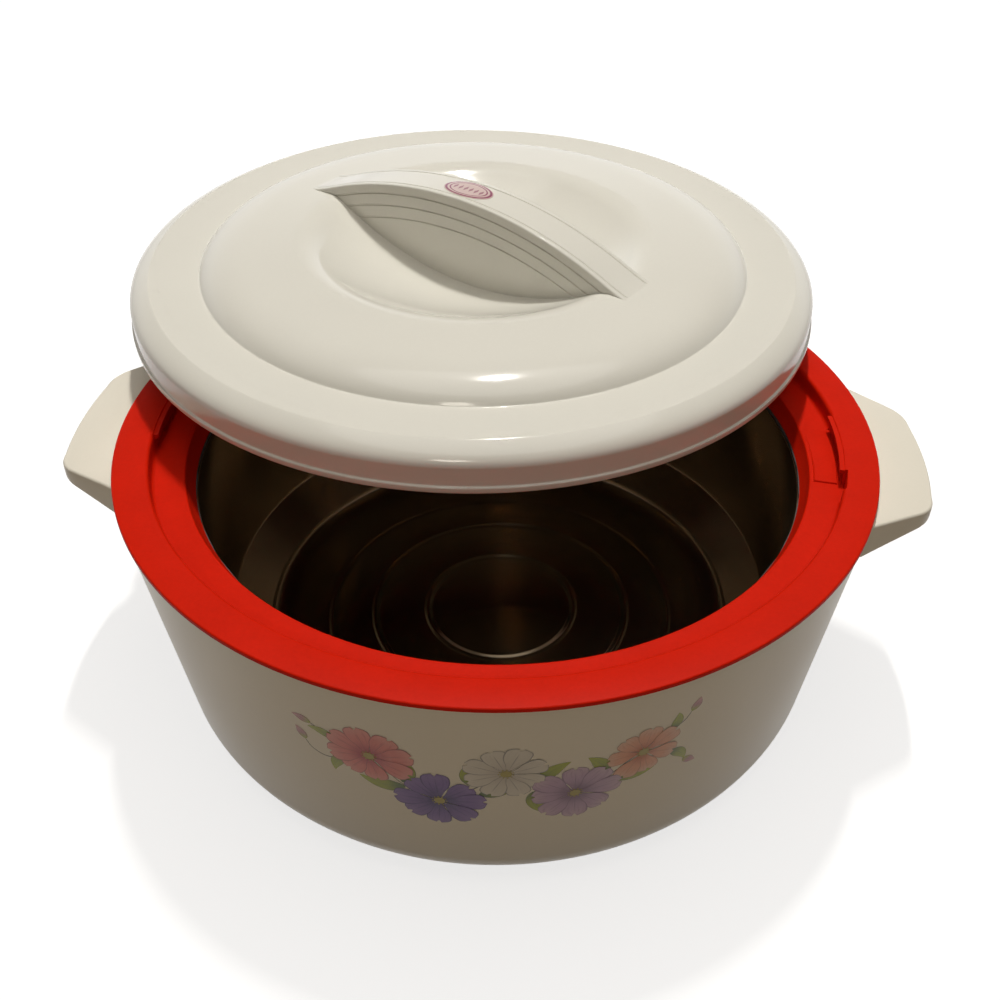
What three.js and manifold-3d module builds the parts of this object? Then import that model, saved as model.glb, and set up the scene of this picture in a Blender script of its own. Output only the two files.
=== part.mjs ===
// Insulated chapati casserole: a foam-filled body with a pressed steel bowl, a ring that caps it,
// two wing handles, and a loose foam-filled lid that lies slid back on the ring.
//
// Millimetres, +Z up. The origin is the centre of the base's underside, on the table. +X points to the
// right handle and +Y away from the front. The lid's own frame has its origin on the lid's axis, level
// with the lower edge of its rim, and its +X along the grip bar.

import * as THREE from 'three';
import { mergeVertices } from 'three/addons/utils/BufferGeometryUtils.js';
import Module from 'manifold-3d';

const wasm = await Module();
wasm.setup();

// Counts and angles
const aroundSteps = 40;
const foamAroundSteps = 20;
const screwAroundSteps = 12;
const arcSteps = 4;
const barSteps = 12;
const degree = Math.PI / 180;

// Clearances
const fitGap = 0.3; // between pieces that seat on or in each other
const foamGap = 0.6; // between foam and the walls round it
const cutOverrun = 2; // how far a cutting body runs past what it cuts
const fuseOverlap = 0.6; // how deep an added feature starts inside what carries it

// Ring that caps the body
const ringRadius = 128;
const ringHeight = 97; // its top face above the table
const ringWall = 2;
const rimThickness = 1.5;
const rimRound = 0.6;
const rimWidth = 11.5; // flat top face, from the outer edge to the wall that steps down
const ledgeDepth = 6.5;
const ledgeWidth = 10.7;
const mouthRound = 0.7;
const mouthTaper = 2.4;
const mouthDepth = 5.5; // below the ledge
const skirtDepth = 3.2; // below the rim's underside, inside the shell
const skirtWall = 1.6;

// Catches on the ring that hold the lid's lugs, one towards each handle
const catchReach = 1.6;
const catchDrop = 0.4;
const catchThickness = 1.2;
const catchStart = -8 * degree;
const catchEnd = 7.7 * degree;
const notchReach = 0.9;
const notchAngle = 5 * degree;
const padHeight = 0.5; // raised ramp on the ledge under each catch
const padGap = 2.7; // between the ramp and the step wall

// Outer shell of the body
const ringOverhang = 0.7;
const shellTaper = 11.4; // loss of radius from the ring down to the table
const shellWall = 2.5;
const baseRound = 18;

// Plug in the base that closes the hole for filling the foam
const fillHoleRadius = 6;
const plugHeadMargin = 2;
const plugHeadThickness = 0.8;
const plugOffset = 40;

// Steel bowl
const steelThickness = 0.8;
const bowlStep = 0.5; // the bowl's wall stands this far inside the ring's mouth
const bowlTaper = 3.9;
const flangeWidth = 6;
const bandInset = 16.2; // from the top of the wall in to the lower edge of the slanted band
const wallFootHeight = 28.1; // above the table, like the next two
const bandFootHeight = 16.3;
const floorHeight = 11.1;
const floorRadiusShare = 0.84; // of the band's radius
const pressedCircleShares = [0.325, 0.558, 0.745]; // of the band's radius
const pressDepth = 0.8;
const pressHalfWidth = 1.6;

// Seal between the bowl's flange and the ring
const sealThickness = 1;
const sealWidth = 4;

// Wing handles
const handleReach = 18.5; // past the ring's outer edge, at the middle of the tip
const handleBulge = 1.7; // how far the middle of the tip stands out past its corners
const handleCornerHalfWidth = 27.3;
const handleRootHalfWidth = 47.2;
const handleRootSink = 15.3; // where that width is measured, inside the shell's top radius
const handleCornerRound = 7;
const handleDrop = 3.9; // top face below the ring's top, at the shell
const handleSlope = 7.5 * degree;
const handleRootThickness = 10.2;
const handleTipThickness = 4.8;
const handleWall = 2.4;
const handleRootWall = 2.7; // shell to grip recess, along the handle's middle

// Screws that hold the handles, put in from inside the shell
const screwRadius = 1.5;
const screwHeadRadius = 3;
const screwHeadHeight = 1.8;
const screwCrownShare = 0.7; // of the head's radius
const screwLength = 8;
const screwAngle = 13 * degree; // on each side of the handle's middle

// Lid, measured from the lower edge of its rim
const lidInset = 2.5; // the lid's outer edge inside the ring's
const lidWall = 2.4;
const beadHeight = 2.4;
const beadReach = 0.7;
const rimSideRise = 8.6; // top of the rim's upright side
const rimPullRise = 11.8; // where that side would meet the rounding's upper end, run on straight
const creaseReach = 7.6; // from the upright side in to the crease above the rounding
const creaseRise = 13.8;
const rimBandWidth = 25.3; // from the outer edge to the crown's foot
const shoulderRound = 24.9;
const shoulderSlope = 45 * degree; // of the shoulder at the crown's foot
const crownFlatWidth = 21.1; // from the shoulder to the dish's edge
const crownFall = 1.6; // of that flat, towards the shoulder
const crownRise = 22.9;
const dishEdgeRound = 4;
const dishEdgeDrop = 0.5;
const dishFloorRise = 5.6;
const gripOverhang = 9.8; // length of the bar past the dish's edge, at each end
const gripHalfWidth = 8.4;
const gripEndRise = 23.3;
const gripMiddleRise = 38.6;
const gripGrooveDrops = [3.6, 8.1, 12.8]; // below the top of the bar
const gripGrooveWidth = 0.9;
const gripGrooveDepth = 0.5;

// Badge let into the top of the bar
const badgeHalfLength = 10.4;
const badgeHalfWidth = 5.8;
const badgeShift = -3.3; // along the bar, from its middle
const badgeThickness = 0.6;
const badgeRecess = 0.6;

// Liner, plate and lugs under the lid
const linerWall = 2;
const linerRecess = 0.5; // the liner's flange above the rim's lower edge
const plugStep = 6.2; // depth of the wide part that enters the ring
const plugDepth = 14.2; // depth of the narrow part that enters the bowl
const plugPlay = 0.6; // between the wide part and the catches
const narrowPlugPlay = 1.4; // between the narrow part and the ring's mouth
const plateSeatWidth = 4;
const platePressRise = 1.2;
const platePressWidth = 18;
const lugHalfAngle = 4 * degree;
const lugPlay = 0.5; // above, below and outside each lug when the lid is seated

// Where the lid lies, slid back on the ring
const lidShiftX = -14.5;
const lidShiftY = 67.8;
const lidTurn = -32.3 * degree;

// Heights and radii worked out from the sizes above
const shellTopHeight = ringHeight - rimThickness - fitGap;
const shellTopRadius = ringRadius - ringOverhang;
const shellLean = Math.atan2(shellTaper, shellTopHeight);
const stepRadius = ringRadius - rimWidth;
const mouthRadius = stepRadius - ledgeWidth;
const mouthFootRadius = mouthRadius - mouthTaper;
const mouthFootHeight = ringHeight - ledgeDepth - mouthDepth;
const sealHeight = mouthFootHeight - fitGap - sealThickness;
const flangeHeight = sealHeight - fitGap;
const bowlTopRadius = mouthFootRadius - bowlStep;
const flangeRadius = bowlTopRadius + flangeWidth;
const bandRadius = bowlTopRadius - bandInset;
const foamTopHeight = ringHeight - ledgeDepth - ringWall - fitGap;
const screwHeight = ringHeight - handleDrop - handleRootThickness / 2;
const screwSeatRadius =
  shellRadiusAt(screwHeight - screwHeadRadius, shellWall) * Math.cos(Math.PI / aroundSteps) - fitGap;
const handleHalfSpan = ringRadius + handleReach;
const handleRootX = shellTopRadius - handleRootSink;
const handleCornerX = handleHalfSpan - handleBulge;
const handleRecessX = shellTopRadius + handleRootWall;
const lidRadius = ringRadius - lidInset;
const lidRimRadius = lidRadius - beadReach;
const crownFootRadius = lidRadius - rimBandWidth;
const shoulderRadius = crownFootRadius - shoulderRound * Math.sin(shoulderSlope);
const shoulderCentre = crownRise - crownFall - shoulderRound;
const crownFootRise = shoulderCentre + shoulderRound * Math.cos(shoulderSlope);
const dishEdgeRadius = shoulderRadius - crownFlatWidth;
const gripHalfLength = dishEdgeRadius + gripOverhang;
const plugRadius = stepRadius - catchReach - plugPlay;
const narrowPlugRadius = mouthFootRadius - narrowPlugPlay;
const plateRadius = narrowPlugRadius - linerWall - fitGap;
const plateHeight = linerWall - plugDepth + fitGap;
const lidHeight = ringHeight + fitGap + plugDepth;

// Materials
const whitePlastic = new THREE.MeshStandardMaterial({ color: '#d9d5c9', roughness: 0.28, metalness: 0 });
const redPlastic = new THREE.MeshStandardMaterial({ color: '#c41d14', roughness: 0.4, metalness: 0 });
const polishedSteel = new THREE.MeshStandardMaterial({ color: '#b9b6ae', roughness: 0.16, metalness: 1 });
const screwSteel = new THREE.MeshStandardMaterial({ color: '#9a9a98', roughness: 0.35, metalness: 1 });
const foamYellow = new THREE.MeshStandardMaterial({ color: '#e3d6a8', roughness: 0.95, metalness: 0 });
const sealRubber = new THREE.MeshStandardMaterial({ color: '#454545', roughness: 0.8, metalness: 0 });
const badgeFoil = new THREE.MeshStandardMaterial({ color: '#d9b9b6', roughness: 0.3, metalness: 0 });

// Outer radius of the shell's cone at a height, less a wall measured square to the cone.
function shellRadiusAt(height, inset) {
  return shellTopRadius - Math.tan(shellLean) * (shellTopHeight - height) - inset / Math.cos(shellLean);
}

// Moves each point of a line to the right of its course by a distance square to the line.
function offsetLine(points, distance) {
  const sides = points.slice(1).map((point, i) => {
    const along = point.clone().sub(points[i]).normalize();
    return new THREE.Vector2(along.y, -along.x);
  });
  return points.map((point, i) => {
    const before = sides[Math.max(i - 1, 0)];
    const after = sides[Math.min(i, sides.length - 1)];
    const mitre = before.clone().add(after).multiplyScalar(distance / (1 + before.dot(after)));
    const moved = point.clone().add(mitre);
    return point.x === 0 ? new THREE.Vector2(0, moved.y) : moved;
  });
}

// Points on an elliptical arc between two angles, both ends included.
function arcPoints(centreX, centreY, radiusX, radiusY, from, to, steps) {
  return Array.from({ length: steps + 1 }, (_, i) => {
    const angle = from + ((to - from) * i) / steps;
    return new THREE.Vector2(centreX + radiusX * Math.cos(angle), centreY + radiusY * Math.sin(angle));
  });
}

function point(radius, height) {
  return new THREE.Vector2(radius, height);
}

// Closed body from a three.js geometry, with shared vertices merged and empty triangles dropped.
function solidOf(geometry) {
  const bare = geometry.clone();
  bare.deleteAttribute('normal');
  bare.deleteAttribute('uv');
  const merged = mergeVertices(bare);
  const corners = Array.from(merged.index.array);
  const triangles = [];
  for (let i = 0; i < corners.length; i += 3) {
    const [a, b, c] = corners.slice(i, i + 3);
    if (a !== b && b !== c && c !== a) triangles.push(a, b, c);
  }
  const vertProperties = new Float32Array(merged.attributes.position.array);
  const triVerts = new Uint32Array(triangles);
  return new wasm.Manifold(new wasm.Mesh({ numProp: 3, vertProperties, triVerts }));
}

function geometryOf(solid) {
  const mesh = solid.getMesh();
  const geometry = new THREE.BufferGeometry();
  geometry.setAttribute('position', new THREE.BufferAttribute(mesh.vertProperties, 3));
  geometry.setIndex(new THREE.BufferAttribute(mesh.triVerts, 1));
  geometry.computeVertexNormals();
  return geometry;
}

// Body of revolution about Z from a closed outline of radius and height.
function turned(outline, steps = aroundSteps) {
  const closed = outline[0].x === 0 ? [...outline] : [...outline, outline[0].clone()];
  const ordered = THREE.ShapeUtils.area(outline) < 0 ? closed.reverse() : closed;
  const geometry = new THREE.LatheGeometry(ordered, steps);
  geometry.rotateX(Math.PI / 2);
  return solidOf(geometry);
}

// Upright prism of a flat shape between two heights.
function prism(shape, bottom, top) {
  const geometry = new THREE.ExtrudeGeometry(shape, {
    depth: top - bottom,
    bevelEnabled: false,
    curveSegments: arcSteps,
  });
  geometry.translate(0, 0, bottom);
  return solidOf(geometry);
}

// Prism of a shape drawn in X and Z, reaching the same distance to both sides of the XZ plane.
function sidePrism(shape, halfWidth) {
  const geometry = new THREE.ExtrudeGeometry(shape, { depth: 2 * halfWidth, bevelEnabled: false });
  geometry.rotateX(Math.PI / 2);
  geometry.translate(0, halfWidth, 0);
  return solidOf(geometry);
}

// Part of a flat ring between two radii, two angles and two heights.
function ringSector(innerRadius, outerRadius, start, end, bottom, top) {
  const shape = new THREE.Shape();
  shape.absarc(0, 0, outerRadius, start, end, false);
  shape.absarc(0, 0, innerRadius, end, start, true);
  return prism(shape, bottom, top);
}

// Cylinder that lies along a ray from the axis, between two radii.
function radialRod(rodRadius, fromRadius, toRadius, angle, height) {
  const geometry = new THREE.CylinderGeometry(rodRadius, rodRadius, toRadius - fromRadius, screwAroundSteps);
  geometry.rotateZ(-Math.PI / 2);
  geometry.translate((fromRadius + toRadius) / 2, 0, 0);
  geometry.rotateZ(angle);
  geometry.translate(0, 0, height);
  return solidOf(geometry);
}

function halfTurn(angle) {
  return [angle, angle + Math.PI];
}

function screwAngles() {
  return halfTurn(0).flatMap((middle) => [middle - screwAngle, middle + screwAngle]);
}

// Line from the axis along the shell's base, round its corner and up its cone.
function shellLine(inset, topHeight) {
  const centreRadius = shellRadiusAt(baseRound, 0) - baseRound / Math.cos(shellLean);
  const round = baseRound - inset;
  return [
    point(0, inset),
    ...arcPoints(centreRadius, baseRound, round, round, -Math.PI / 2, -shellLean, arcSteps),
    point(shellRadiusAt(topHeight, inset), topHeight),
  ];
}

function outerBody() {
  const skin = shellLine(0, shellTopHeight);
  const lining = shellLine(shellWall, shellTopHeight);
  let body = turned([...skin, ...lining.reverse()]);
  for (const angle of screwAngles()) {
    body = body.subtract(
      radialRod(screwRadius + fitGap, screwSeatRadius - cutOverrun, ringRadius, angle, screwHeight),
    );
  }
  const headRadius = fillHoleRadius + plugHeadMargin;
  const fillHole = turned([
    point(0, -cutOverrun),
    point(headRadius, -cutOverrun),
    point(headRadius, plugHeadThickness),
    point(fillHoleRadius, plugHeadThickness),
    point(fillHoleRadius, shellWall + cutOverrun),
    point(0, shellWall + cutOverrun),
  ], foamAroundSteps);
  return geometryOf(body.subtract(fillHole.translate([0, plugOffset, 0])));
}

function foamPlug() {
  const headRadius = fillHoleRadius + plugHeadMargin - fitGap;
  const shankRadius = fillHoleRadius - fitGap;
  return geometryOf(turned([
    point(0, 0),
    point(headRadius, 0),
    point(headRadius, plugHeadThickness - fitGap),
    point(shankRadius, plugHeadThickness - fitGap),
    point(shankRadius, shellWall),
    point(0, shellWall),
  ], foamAroundSteps));
}

// Line from the axis over the bowl's floor, up its wall and out along its flange.
function bowlLine(pressed) {
  const circles = pressedCircleShares.flatMap((share) => [
    point(bandRadius * share - pressHalfWidth, floorHeight),
    point(bandRadius * share, floorHeight - pressDepth),
    point(bandRadius * share + pressHalfWidth, floorHeight),
  ]);
  const floorRadius = bandRadius * floorRadiusShare;
  const rise = arcPoints(
    floorRadius,
    bandFootHeight,
    bandRadius - floorRadius,
    bandFootHeight - floorHeight,
    -Math.PI / 2,
    0,
    arcSteps,
  );
  return [
    point(0, floorHeight),
    ...(pressed ? circles : []),
    ...rise,
    point(bowlTopRadius - bowlTaper, wallFootHeight),
    point(bowlTopRadius, flangeHeight - steelThickness),
    point(bowlTopRadius + steelThickness, flangeHeight),
    point(flangeRadius, flangeHeight),
  ];
}

function steelBowl() {
  const inside = bowlLine(true);
  return geometryOf(turned([...inside, ...offsetLine(inside, steelThickness).reverse()]));
}

function bodyFoam() {
  const outside = shellLine(shellWall + foamGap, foamTopHeight);
  const widen = 1 / Math.cos(Math.PI / foamAroundSteps);
  const underBowl = offsetLine(bowlLine(false), steelThickness + pressDepth + foamGap);
  const inside = underBowl.map(({ x, y }) => point(x * widen, y));
  const flangeEnd = (flangeRadius + foamGap) * widen;
  const flangeFoot = inside.at(-1).y;
  const outline = [...outside, point(flangeEnd, foamTopHeight), point(flangeEnd, flangeFoot)];
  let foam = turned([...outline, ...inside.slice(0, -1).reverse()], foamAroundSteps);
  for (const angle of screwAngles()) {
    foam = foam.subtract(radialRod(
      screwHeadRadius + foamGap,
      screwSeatRadius - screwHeadHeight - foamGap,
      ringRadius,
      angle,
      screwHeight,
    ));
  }
  return geometryOf(foam);
}

function bowlSeal() {
  const outerRadius = mouthFootRadius + sealWidth;
  return geometryOf(turned([
    point(mouthFootRadius, sealHeight),
    point(outerRadius, sealHeight),
    point(outerRadius, sealHeight + sealThickness),
    point(mouthFootRadius, sealHeight + sealThickness),
  ]));
}

// Adds a catch's overhanging lip and its ramp, and cuts the notch where a lug goes in beside them.
function addCatch(ring, turn) {
  const lip = ringSector(
    stepRadius - catchReach,
    stepRadius + fuseOverlap,
    catchStart + turn,
    catchEnd + turn,
    ringHeight - catchDrop - catchThickness,
    ringHeight - catchDrop,
  );
  const ledge = ringHeight - ledgeDepth;
  const ramp = ringSector(
    mouthRadius + mouthRound,
    stepRadius - padGap,
    catchStart + turn,
    catchEnd + turn,
    ledge - fuseOverlap,
    ledge + padHeight,
  );
  const notch = ringSector(
    mouthRadius + ringWall,
    stepRadius + notchReach,
    catchStart - notchAngle + turn,
    catchStart + turn,
    ledge,
    ringHeight + cutOverrun,
  );
  return ring.add(lip).add(ramp).subtract(notch);
}

function topRing() {
  const skirtRadius = shellRadiusAt(ringHeight - rimThickness - skirtDepth, shellWall) - fitGap;
  const skirtFoot = ringHeight - rimThickness - skirtDepth;
  const ledge = ringHeight - ledgeDepth;
  let ring = turned([
    point(stepRadius, ringHeight),
    point(ringRadius - rimRound, ringHeight),
    point(ringRadius, ringHeight - rimRound),
    point(ringRadius, ringHeight - rimThickness),
    point(skirtRadius, ringHeight - rimThickness),
    point(skirtRadius, skirtFoot),
    point(skirtRadius - skirtWall, skirtFoot),
    point(skirtRadius - skirtWall, ringHeight - ringWall),
    point(stepRadius + ringWall, ringHeight - ringWall),
    point(stepRadius + ringWall, ledge - ringWall),
    point(mouthRadius + ringWall, ledge - ringWall),
    point(mouthFootRadius + ringWall, mouthFootHeight),
    point(mouthFootRadius, mouthFootHeight),
    point(mouthRadius, ledge - mouthRound),
    point(mouthRadius + mouthRound, ledge),
    point(stepRadius, ledge),
  ]);
  for (const turn of halfTurn(0)) ring = addCatch(ring, turn);
  return geometryOf(ring);
}

// Plan of a handle, drawn for the right side, drawn in by an inset and starting at a distance
// from the axis.
function handlePlan(inset, startX) {
  const side = point(handleCornerX - handleRootX, handleRootHalfWidth - handleCornerHalfWidth);
  const drawIn = (inset * side.length()) / side.x;
  const halfWidthAt = (x) => handleRootHalfWidth - (side.y / side.x) * (x - handleRootX) - drawIn;
  const cornerX = handleCornerX - inset;
  const cornerY = halfWidthAt(cornerX);
  const round = handleCornerRound - inset;
  const backX = cornerX - (round * side.x) / side.length();
  const shape = new THREE.Shape();
  shape.moveTo(startX, -halfWidthAt(startX));
  shape.lineTo(backX, -halfWidthAt(backX));
  shape.quadraticCurveTo(cornerX, -cornerY, cornerX, round - cornerY);
  shape.quadraticCurveTo(cornerX + 2 * handleBulge, 0, cornerX, cornerY - round);
  shape.quadraticCurveTo(cornerX, cornerY, backX, halfWidthAt(backX));
  shape.lineTo(startX, halfWidthAt(startX));
  shape.closePath();
  return shape;
}

function handleTopAt(x) {
  return ringHeight - handleDrop - Math.tan(handleSlope) * (x - shellTopRadius);
}

function handleFootAt(x) {
  const share = (x - shellTopRadius) / (handleHalfSpan - shellTopRadius);
  return handleTopAt(x) - handleRootThickness - (handleTipThickness - handleRootThickness) * share;
}

function handle() {
  const farX = handleHalfSpan + cutOverrun;
  const profile = new THREE.Shape([
    point(handleRootX, handleFootAt(handleRootX)),
    point(farX, handleFootAt(farX)),
    point(farX, handleTopAt(farX)),
    point(handleRootX, handleTopAt(handleRootX)),
  ]);
  const recessProfile = new THREE.Shape([
    point(handleRootX, shellWall),
    point(farX, shellWall),
    point(farX, handleTopAt(farX) - handleWall),
    point(handleRootX, handleTopAt(handleRootX) - handleWall),
  ]);
  const wing = prism(handlePlan(0, handleRootX), 0, ringHeight)
    .intersect(sidePrism(profile, handleRootHalfWidth + cutOverrun));
  const recess = prism(handlePlan(handleWall, handleRecessX), 0, ringHeight)
    .intersect(sidePrism(recessProfile, handleRootHalfWidth));
  const shellBlank = turned([
    ...offsetLine(shellLine(0, ringHeight), fitGap),
    point(0, ringHeight),
  ]);
  let solid = wing.subtract(recess).subtract(shellBlank);
  for (const angle of [-screwAngle, screwAngle]) {
    solid = solid.subtract(radialRod(
      screwRadius + fitGap,
      screwSeatRadius,
      screwSeatRadius + screwLength + fitGap,
      angle,
      screwHeight,
    ));
  }
  return geometryOf(solid);
}

// Pan-head screw along +Z, its head's seat at the origin.
function handleScrew() {
  const tipLength = screwRadius;
  return geometryOf(turned([
    point(0, -screwHeadHeight),
    point(screwHeadRadius * screwCrownShare, -screwHeadHeight),
    point(screwHeadRadius, -screwHeadHeight / 2),
    point(screwHeadRadius, 0),
    point(screwRadius, 0),
    point(screwRadius, screwLength - tipLength),
    point(0, screwLength),
  ], screwAroundSteps));
}

// Line from the lid's axis over its dish, crown, shoulder and rim, down to the rim's lower edge.
function coverLine() {
  const dishDepth = crownRise - dishFloorRise;
  const dishCurve = (dishEdgeRadius ** 2 + dishDepth ** 2) / (2 * dishDepth);
  const edgeAngle = Math.asin(dishEdgeRadius / dishCurve);
  const dishStart = -Math.PI / 2;
  const dishEnd = dishStart + edgeAngle - dishEdgeRound / dishCurve;
  const dish = arcPoints(
    0, dishFloorRise + dishCurve, dishCurve, dishCurve, dishStart, dishEnd, arcSteps + 1,
  );
  dish[0].x = 0;
  const upright = Math.PI / 2;
  const shoulder = arcPoints(
    shoulderRadius, shoulderCentre, shoulderRound, shoulderRound, upright, upright - shoulderSlope, arcSteps,
  );
  const rim = new THREE.QuadraticBezierCurve(
    point(lidRimRadius - creaseReach, creaseRise),
    point(lidRimRadius, rimPullRise),
    point(lidRimRadius, rimSideRise),
  );
  return [
    ...dish,
    point(dishEdgeRadius, crownRise - dishEdgeDrop),
    point(dishEdgeRadius + dishEdgeRound, crownRise),
    ...shoulder,
    ...rim.getPoints(arcSteps),
    point(lidRimRadius, 0),
  ];
}

// Side view of the grip bar, drawn in by an inset, from a foot height up to its arched top.
function gripSide(inset, foot) {
  const rise = gripMiddleRise - gripEndRise;
  const curve = (gripHalfLength ** 2 + rise ** 2) / (2 * rise);
  const centre = gripMiddleRise - curve;
  const halfLength = gripHalfLength - inset;
  const reach = Math.asin(halfLength / (curve - inset));
  const top = arcPoints(
    0, centre, curve - inset, curve - inset, Math.PI / 2 - reach, Math.PI / 2 + reach, barSteps,
  );
  return new THREE.Shape([...top, point(-halfLength, foot), point(halfLength, foot)]);
}

// Thin arched strip that follows the bar's top between two depths below it.
function gripStrip(upper, lower, halfWidth) {
  const above = sidePrism(gripSide(upper, crownFootRise - upper), halfWidth);
  const below = sidePrism(gripSide(lower, dishFloorRise - upper), halfWidth + cutOverrun);
  return above.subtract(below);
}

// The lid's outer form, filled down to a foot height and drawn in by an inset on every side.
function lidForm(inset, foot, steps) {
  const line = offsetLine(coverLine(), inset);
  line.at(-1).y = foot;
  const crown = turned([...line, point(0, foot)], steps);
  const barFoot = (dishFloorRise - inset) / 2;
  return crown.add(sidePrism(gripSide(inset, barFoot), gripHalfWidth - inset));
}

function badgeOval(margin, bottom, top) {
  const shape = new THREE.Shape();
  const halfLength = badgeHalfLength + margin;
  shape.absellipse(badgeShift, 0, halfLength, badgeHalfWidth + margin, 0, 2 * Math.PI, false, 0);
  return prism(shape, bottom, top);
}

function lidCover() {
  const bead = turned([
    point(lidRimRadius - lidWall / 2, 0),
    point(lidRadius, 0),
    point(lidRadius, beadHeight - beadReach / 2),
    point(lidRimRadius, beadHeight),
    point(lidRimRadius - lidWall / 2, beadHeight),
  ]);
  let cover = lidForm(0, 0, aroundSteps).subtract(lidForm(lidWall, -cutOverrun, aroundSteps)).add(bead);
  const crown = turned([...coverLine(), point(0, 0)]);
  const core = sidePrism(gripSide(0, 0), gripHalfWidth - gripGrooveDepth).add(crown);
  for (const drop of gripGrooveDrops) {
    const band = gripStrip(drop, drop + gripGrooveWidth, gripHalfWidth + cutOverrun);
    cover = cover.subtract(band.subtract(core));
  }
  const recess = badgeOval(fitGap, gripEndRise, gripMiddleRise + cutOverrun)
    .intersect(gripStrip(-cutOverrun, badgeRecess, gripHalfWidth));
  return geometryOf(cover.subtract(recess));
}

function lidBadge() {
  const upper = badgeRecess - fitGap - badgeThickness;
  const lower = badgeRecess - fitGap;
  return geometryOf(
    badgeOval(0, gripEndRise, gripMiddleRise + cutOverrun)
      .intersect(gripStrip(upper, lower, gripHalfWidth)),
  );
}

function lidLiner() {
  const flangeOuter = lidRimRadius - lidWall - fitGap;
  const flangeTop = linerRecess + linerWall;
  let liner = turned([
    point(flangeOuter, linerRecess),
    point(flangeOuter, flangeTop),
    point(plugRadius - linerWall, flangeTop),
    point(plugRadius - linerWall, linerWall - plugStep),
    point(narrowPlugRadius - linerWall, linerWall - plugStep),
    point(narrowPlugRadius - linerWall, linerWall - plugDepth),
    point(narrowPlugRadius - linerWall - plateSeatWidth, linerWall - plugDepth),
    point(narrowPlugRadius - linerWall - plateSeatWidth, -plugDepth),
    point(narrowPlugRadius, -plugDepth),
    point(narrowPlugRadius, -plugStep),
    point(plugRadius, -plugStep),
    point(plugRadius, linerRecess),
  ]);
  const lugMiddle = (catchStart + catchEnd) / 2;
  for (const angle of halfTurn(lugMiddle)) {
    liner = liner.add(ringSector(
      plugRadius - fuseOverlap,
      stepRadius - lugPlay,
      angle - lugHalfAngle,
      angle + lugHalfAngle,
      padHeight + lugPlay - ledgeDepth,
      -catchDrop - catchThickness - lugPlay,
    ));
  }
  return geometryOf(liner);
}

function lidPlate() {
  const raised = plateHeight + steelThickness + platePressRise;
  const top = [
    point(0, raised),
    point(plateRadius - platePressWidth - platePressRise, raised),
    point(plateRadius - platePressWidth, plateHeight + steelThickness),
    point(plateRadius, plateHeight + steelThickness),
  ];
  return geometryOf(turned([...top, ...offsetLine(top, steelThickness).reverse()]));
}

function lidFoam() {
  const foot = plateHeight + steelThickness + platePressRise + foamGap;
  const wideRadius = plugRadius - linerWall - foamGap;
  const flangeTop = linerRecess + linerWall + foamGap;
  const space = turned([
    point(0, foot),
    point(plateRadius - foamGap, foot),
    point(plateRadius - foamGap, linerWall - plugStep + foamGap),
    point(wideRadius, linerWall - plugStep + foamGap),
    point(wideRadius, flangeTop),
    point(lidRadius, flangeTop),
    point(lidRadius, gripMiddleRise),
    point(0, gripMiddleRise),
  ], foamAroundSteps);
  return geometryOf(lidForm(lidWall + foamGap, foot - cutOverrun, foamAroundSteps).intersect(space));
}

function named(name, geometry, material) {
  const mesh = new THREE.Mesh(geometry, material);
  mesh.name = name;
  return mesh;
}

// Screws of both handles, each along its own ray from the axis.
function handleScrews() {
  const geometry = handleScrew();
  return screwAngles().map((angle, i) => {
    const ray = new THREE.Group();
    const screw = named(`handle_screw_${i + 1}`, geometry, screwSteel);
    screw.rotation.y = Math.PI / 2;
    screw.position.set(screwSeatRadius, 0, screwHeight);
    ray.rotation.z = angle;
    ray.add(screw);
    return ray;
  });
}

function body() {
  const group = new THREE.Group();
  const plug = named('foam_plug', foamPlug(), whitePlastic);
  plug.position.y = plugOffset;
  const handleGeometry = handle();
  const handleLeft = named('handle_left', handleGeometry, whitePlastic);
  handleLeft.rotation.z = Math.PI;
  group.add(
    named('outer_body', outerBody(), whitePlastic),
    plug,
    named('body_foam', bodyFoam(), foamYellow),
    named('steel_bowl', steelBowl(), polishedSteel),
    named('bowl_seal', bowlSeal(), sealRubber),
    named('top_ring', topRing(), redPlastic),
    named('handle_right', handleGeometry, whitePlastic),
    handleLeft,
    ...handleScrews(),
  );
  return group;
}

function lid() {
  const group = new THREE.Group();
  group.add(
    named('lid_cover', lidCover(), whitePlastic),
    named('lid_badge', lidBadge(), badgeFoil),
    named('lid_liner', lidLiner(), whitePlastic),
    named('lid_plate', lidPlate(), polishedSteel),
    named('lid_foam', lidFoam(), foamYellow),
  );
  group.position.set(lidShiftX, lidShiftY, lidHeight);
  group.rotation.z = lidTurn;
  return group;
}

const casserole = new THREE.Group();
casserole.add(body(), lid());

export default casserole;
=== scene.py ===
"""Looks of an insulated casserole: fine meshes, finishes, print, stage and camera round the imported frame.

Lengths are metres in the frame's own axes: +Z up, +X towards the right handle, +Y away from the front.
"""

import math

import bmesh
import bpy
import numpy as np
from mathutils import Matrix, Vector


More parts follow.
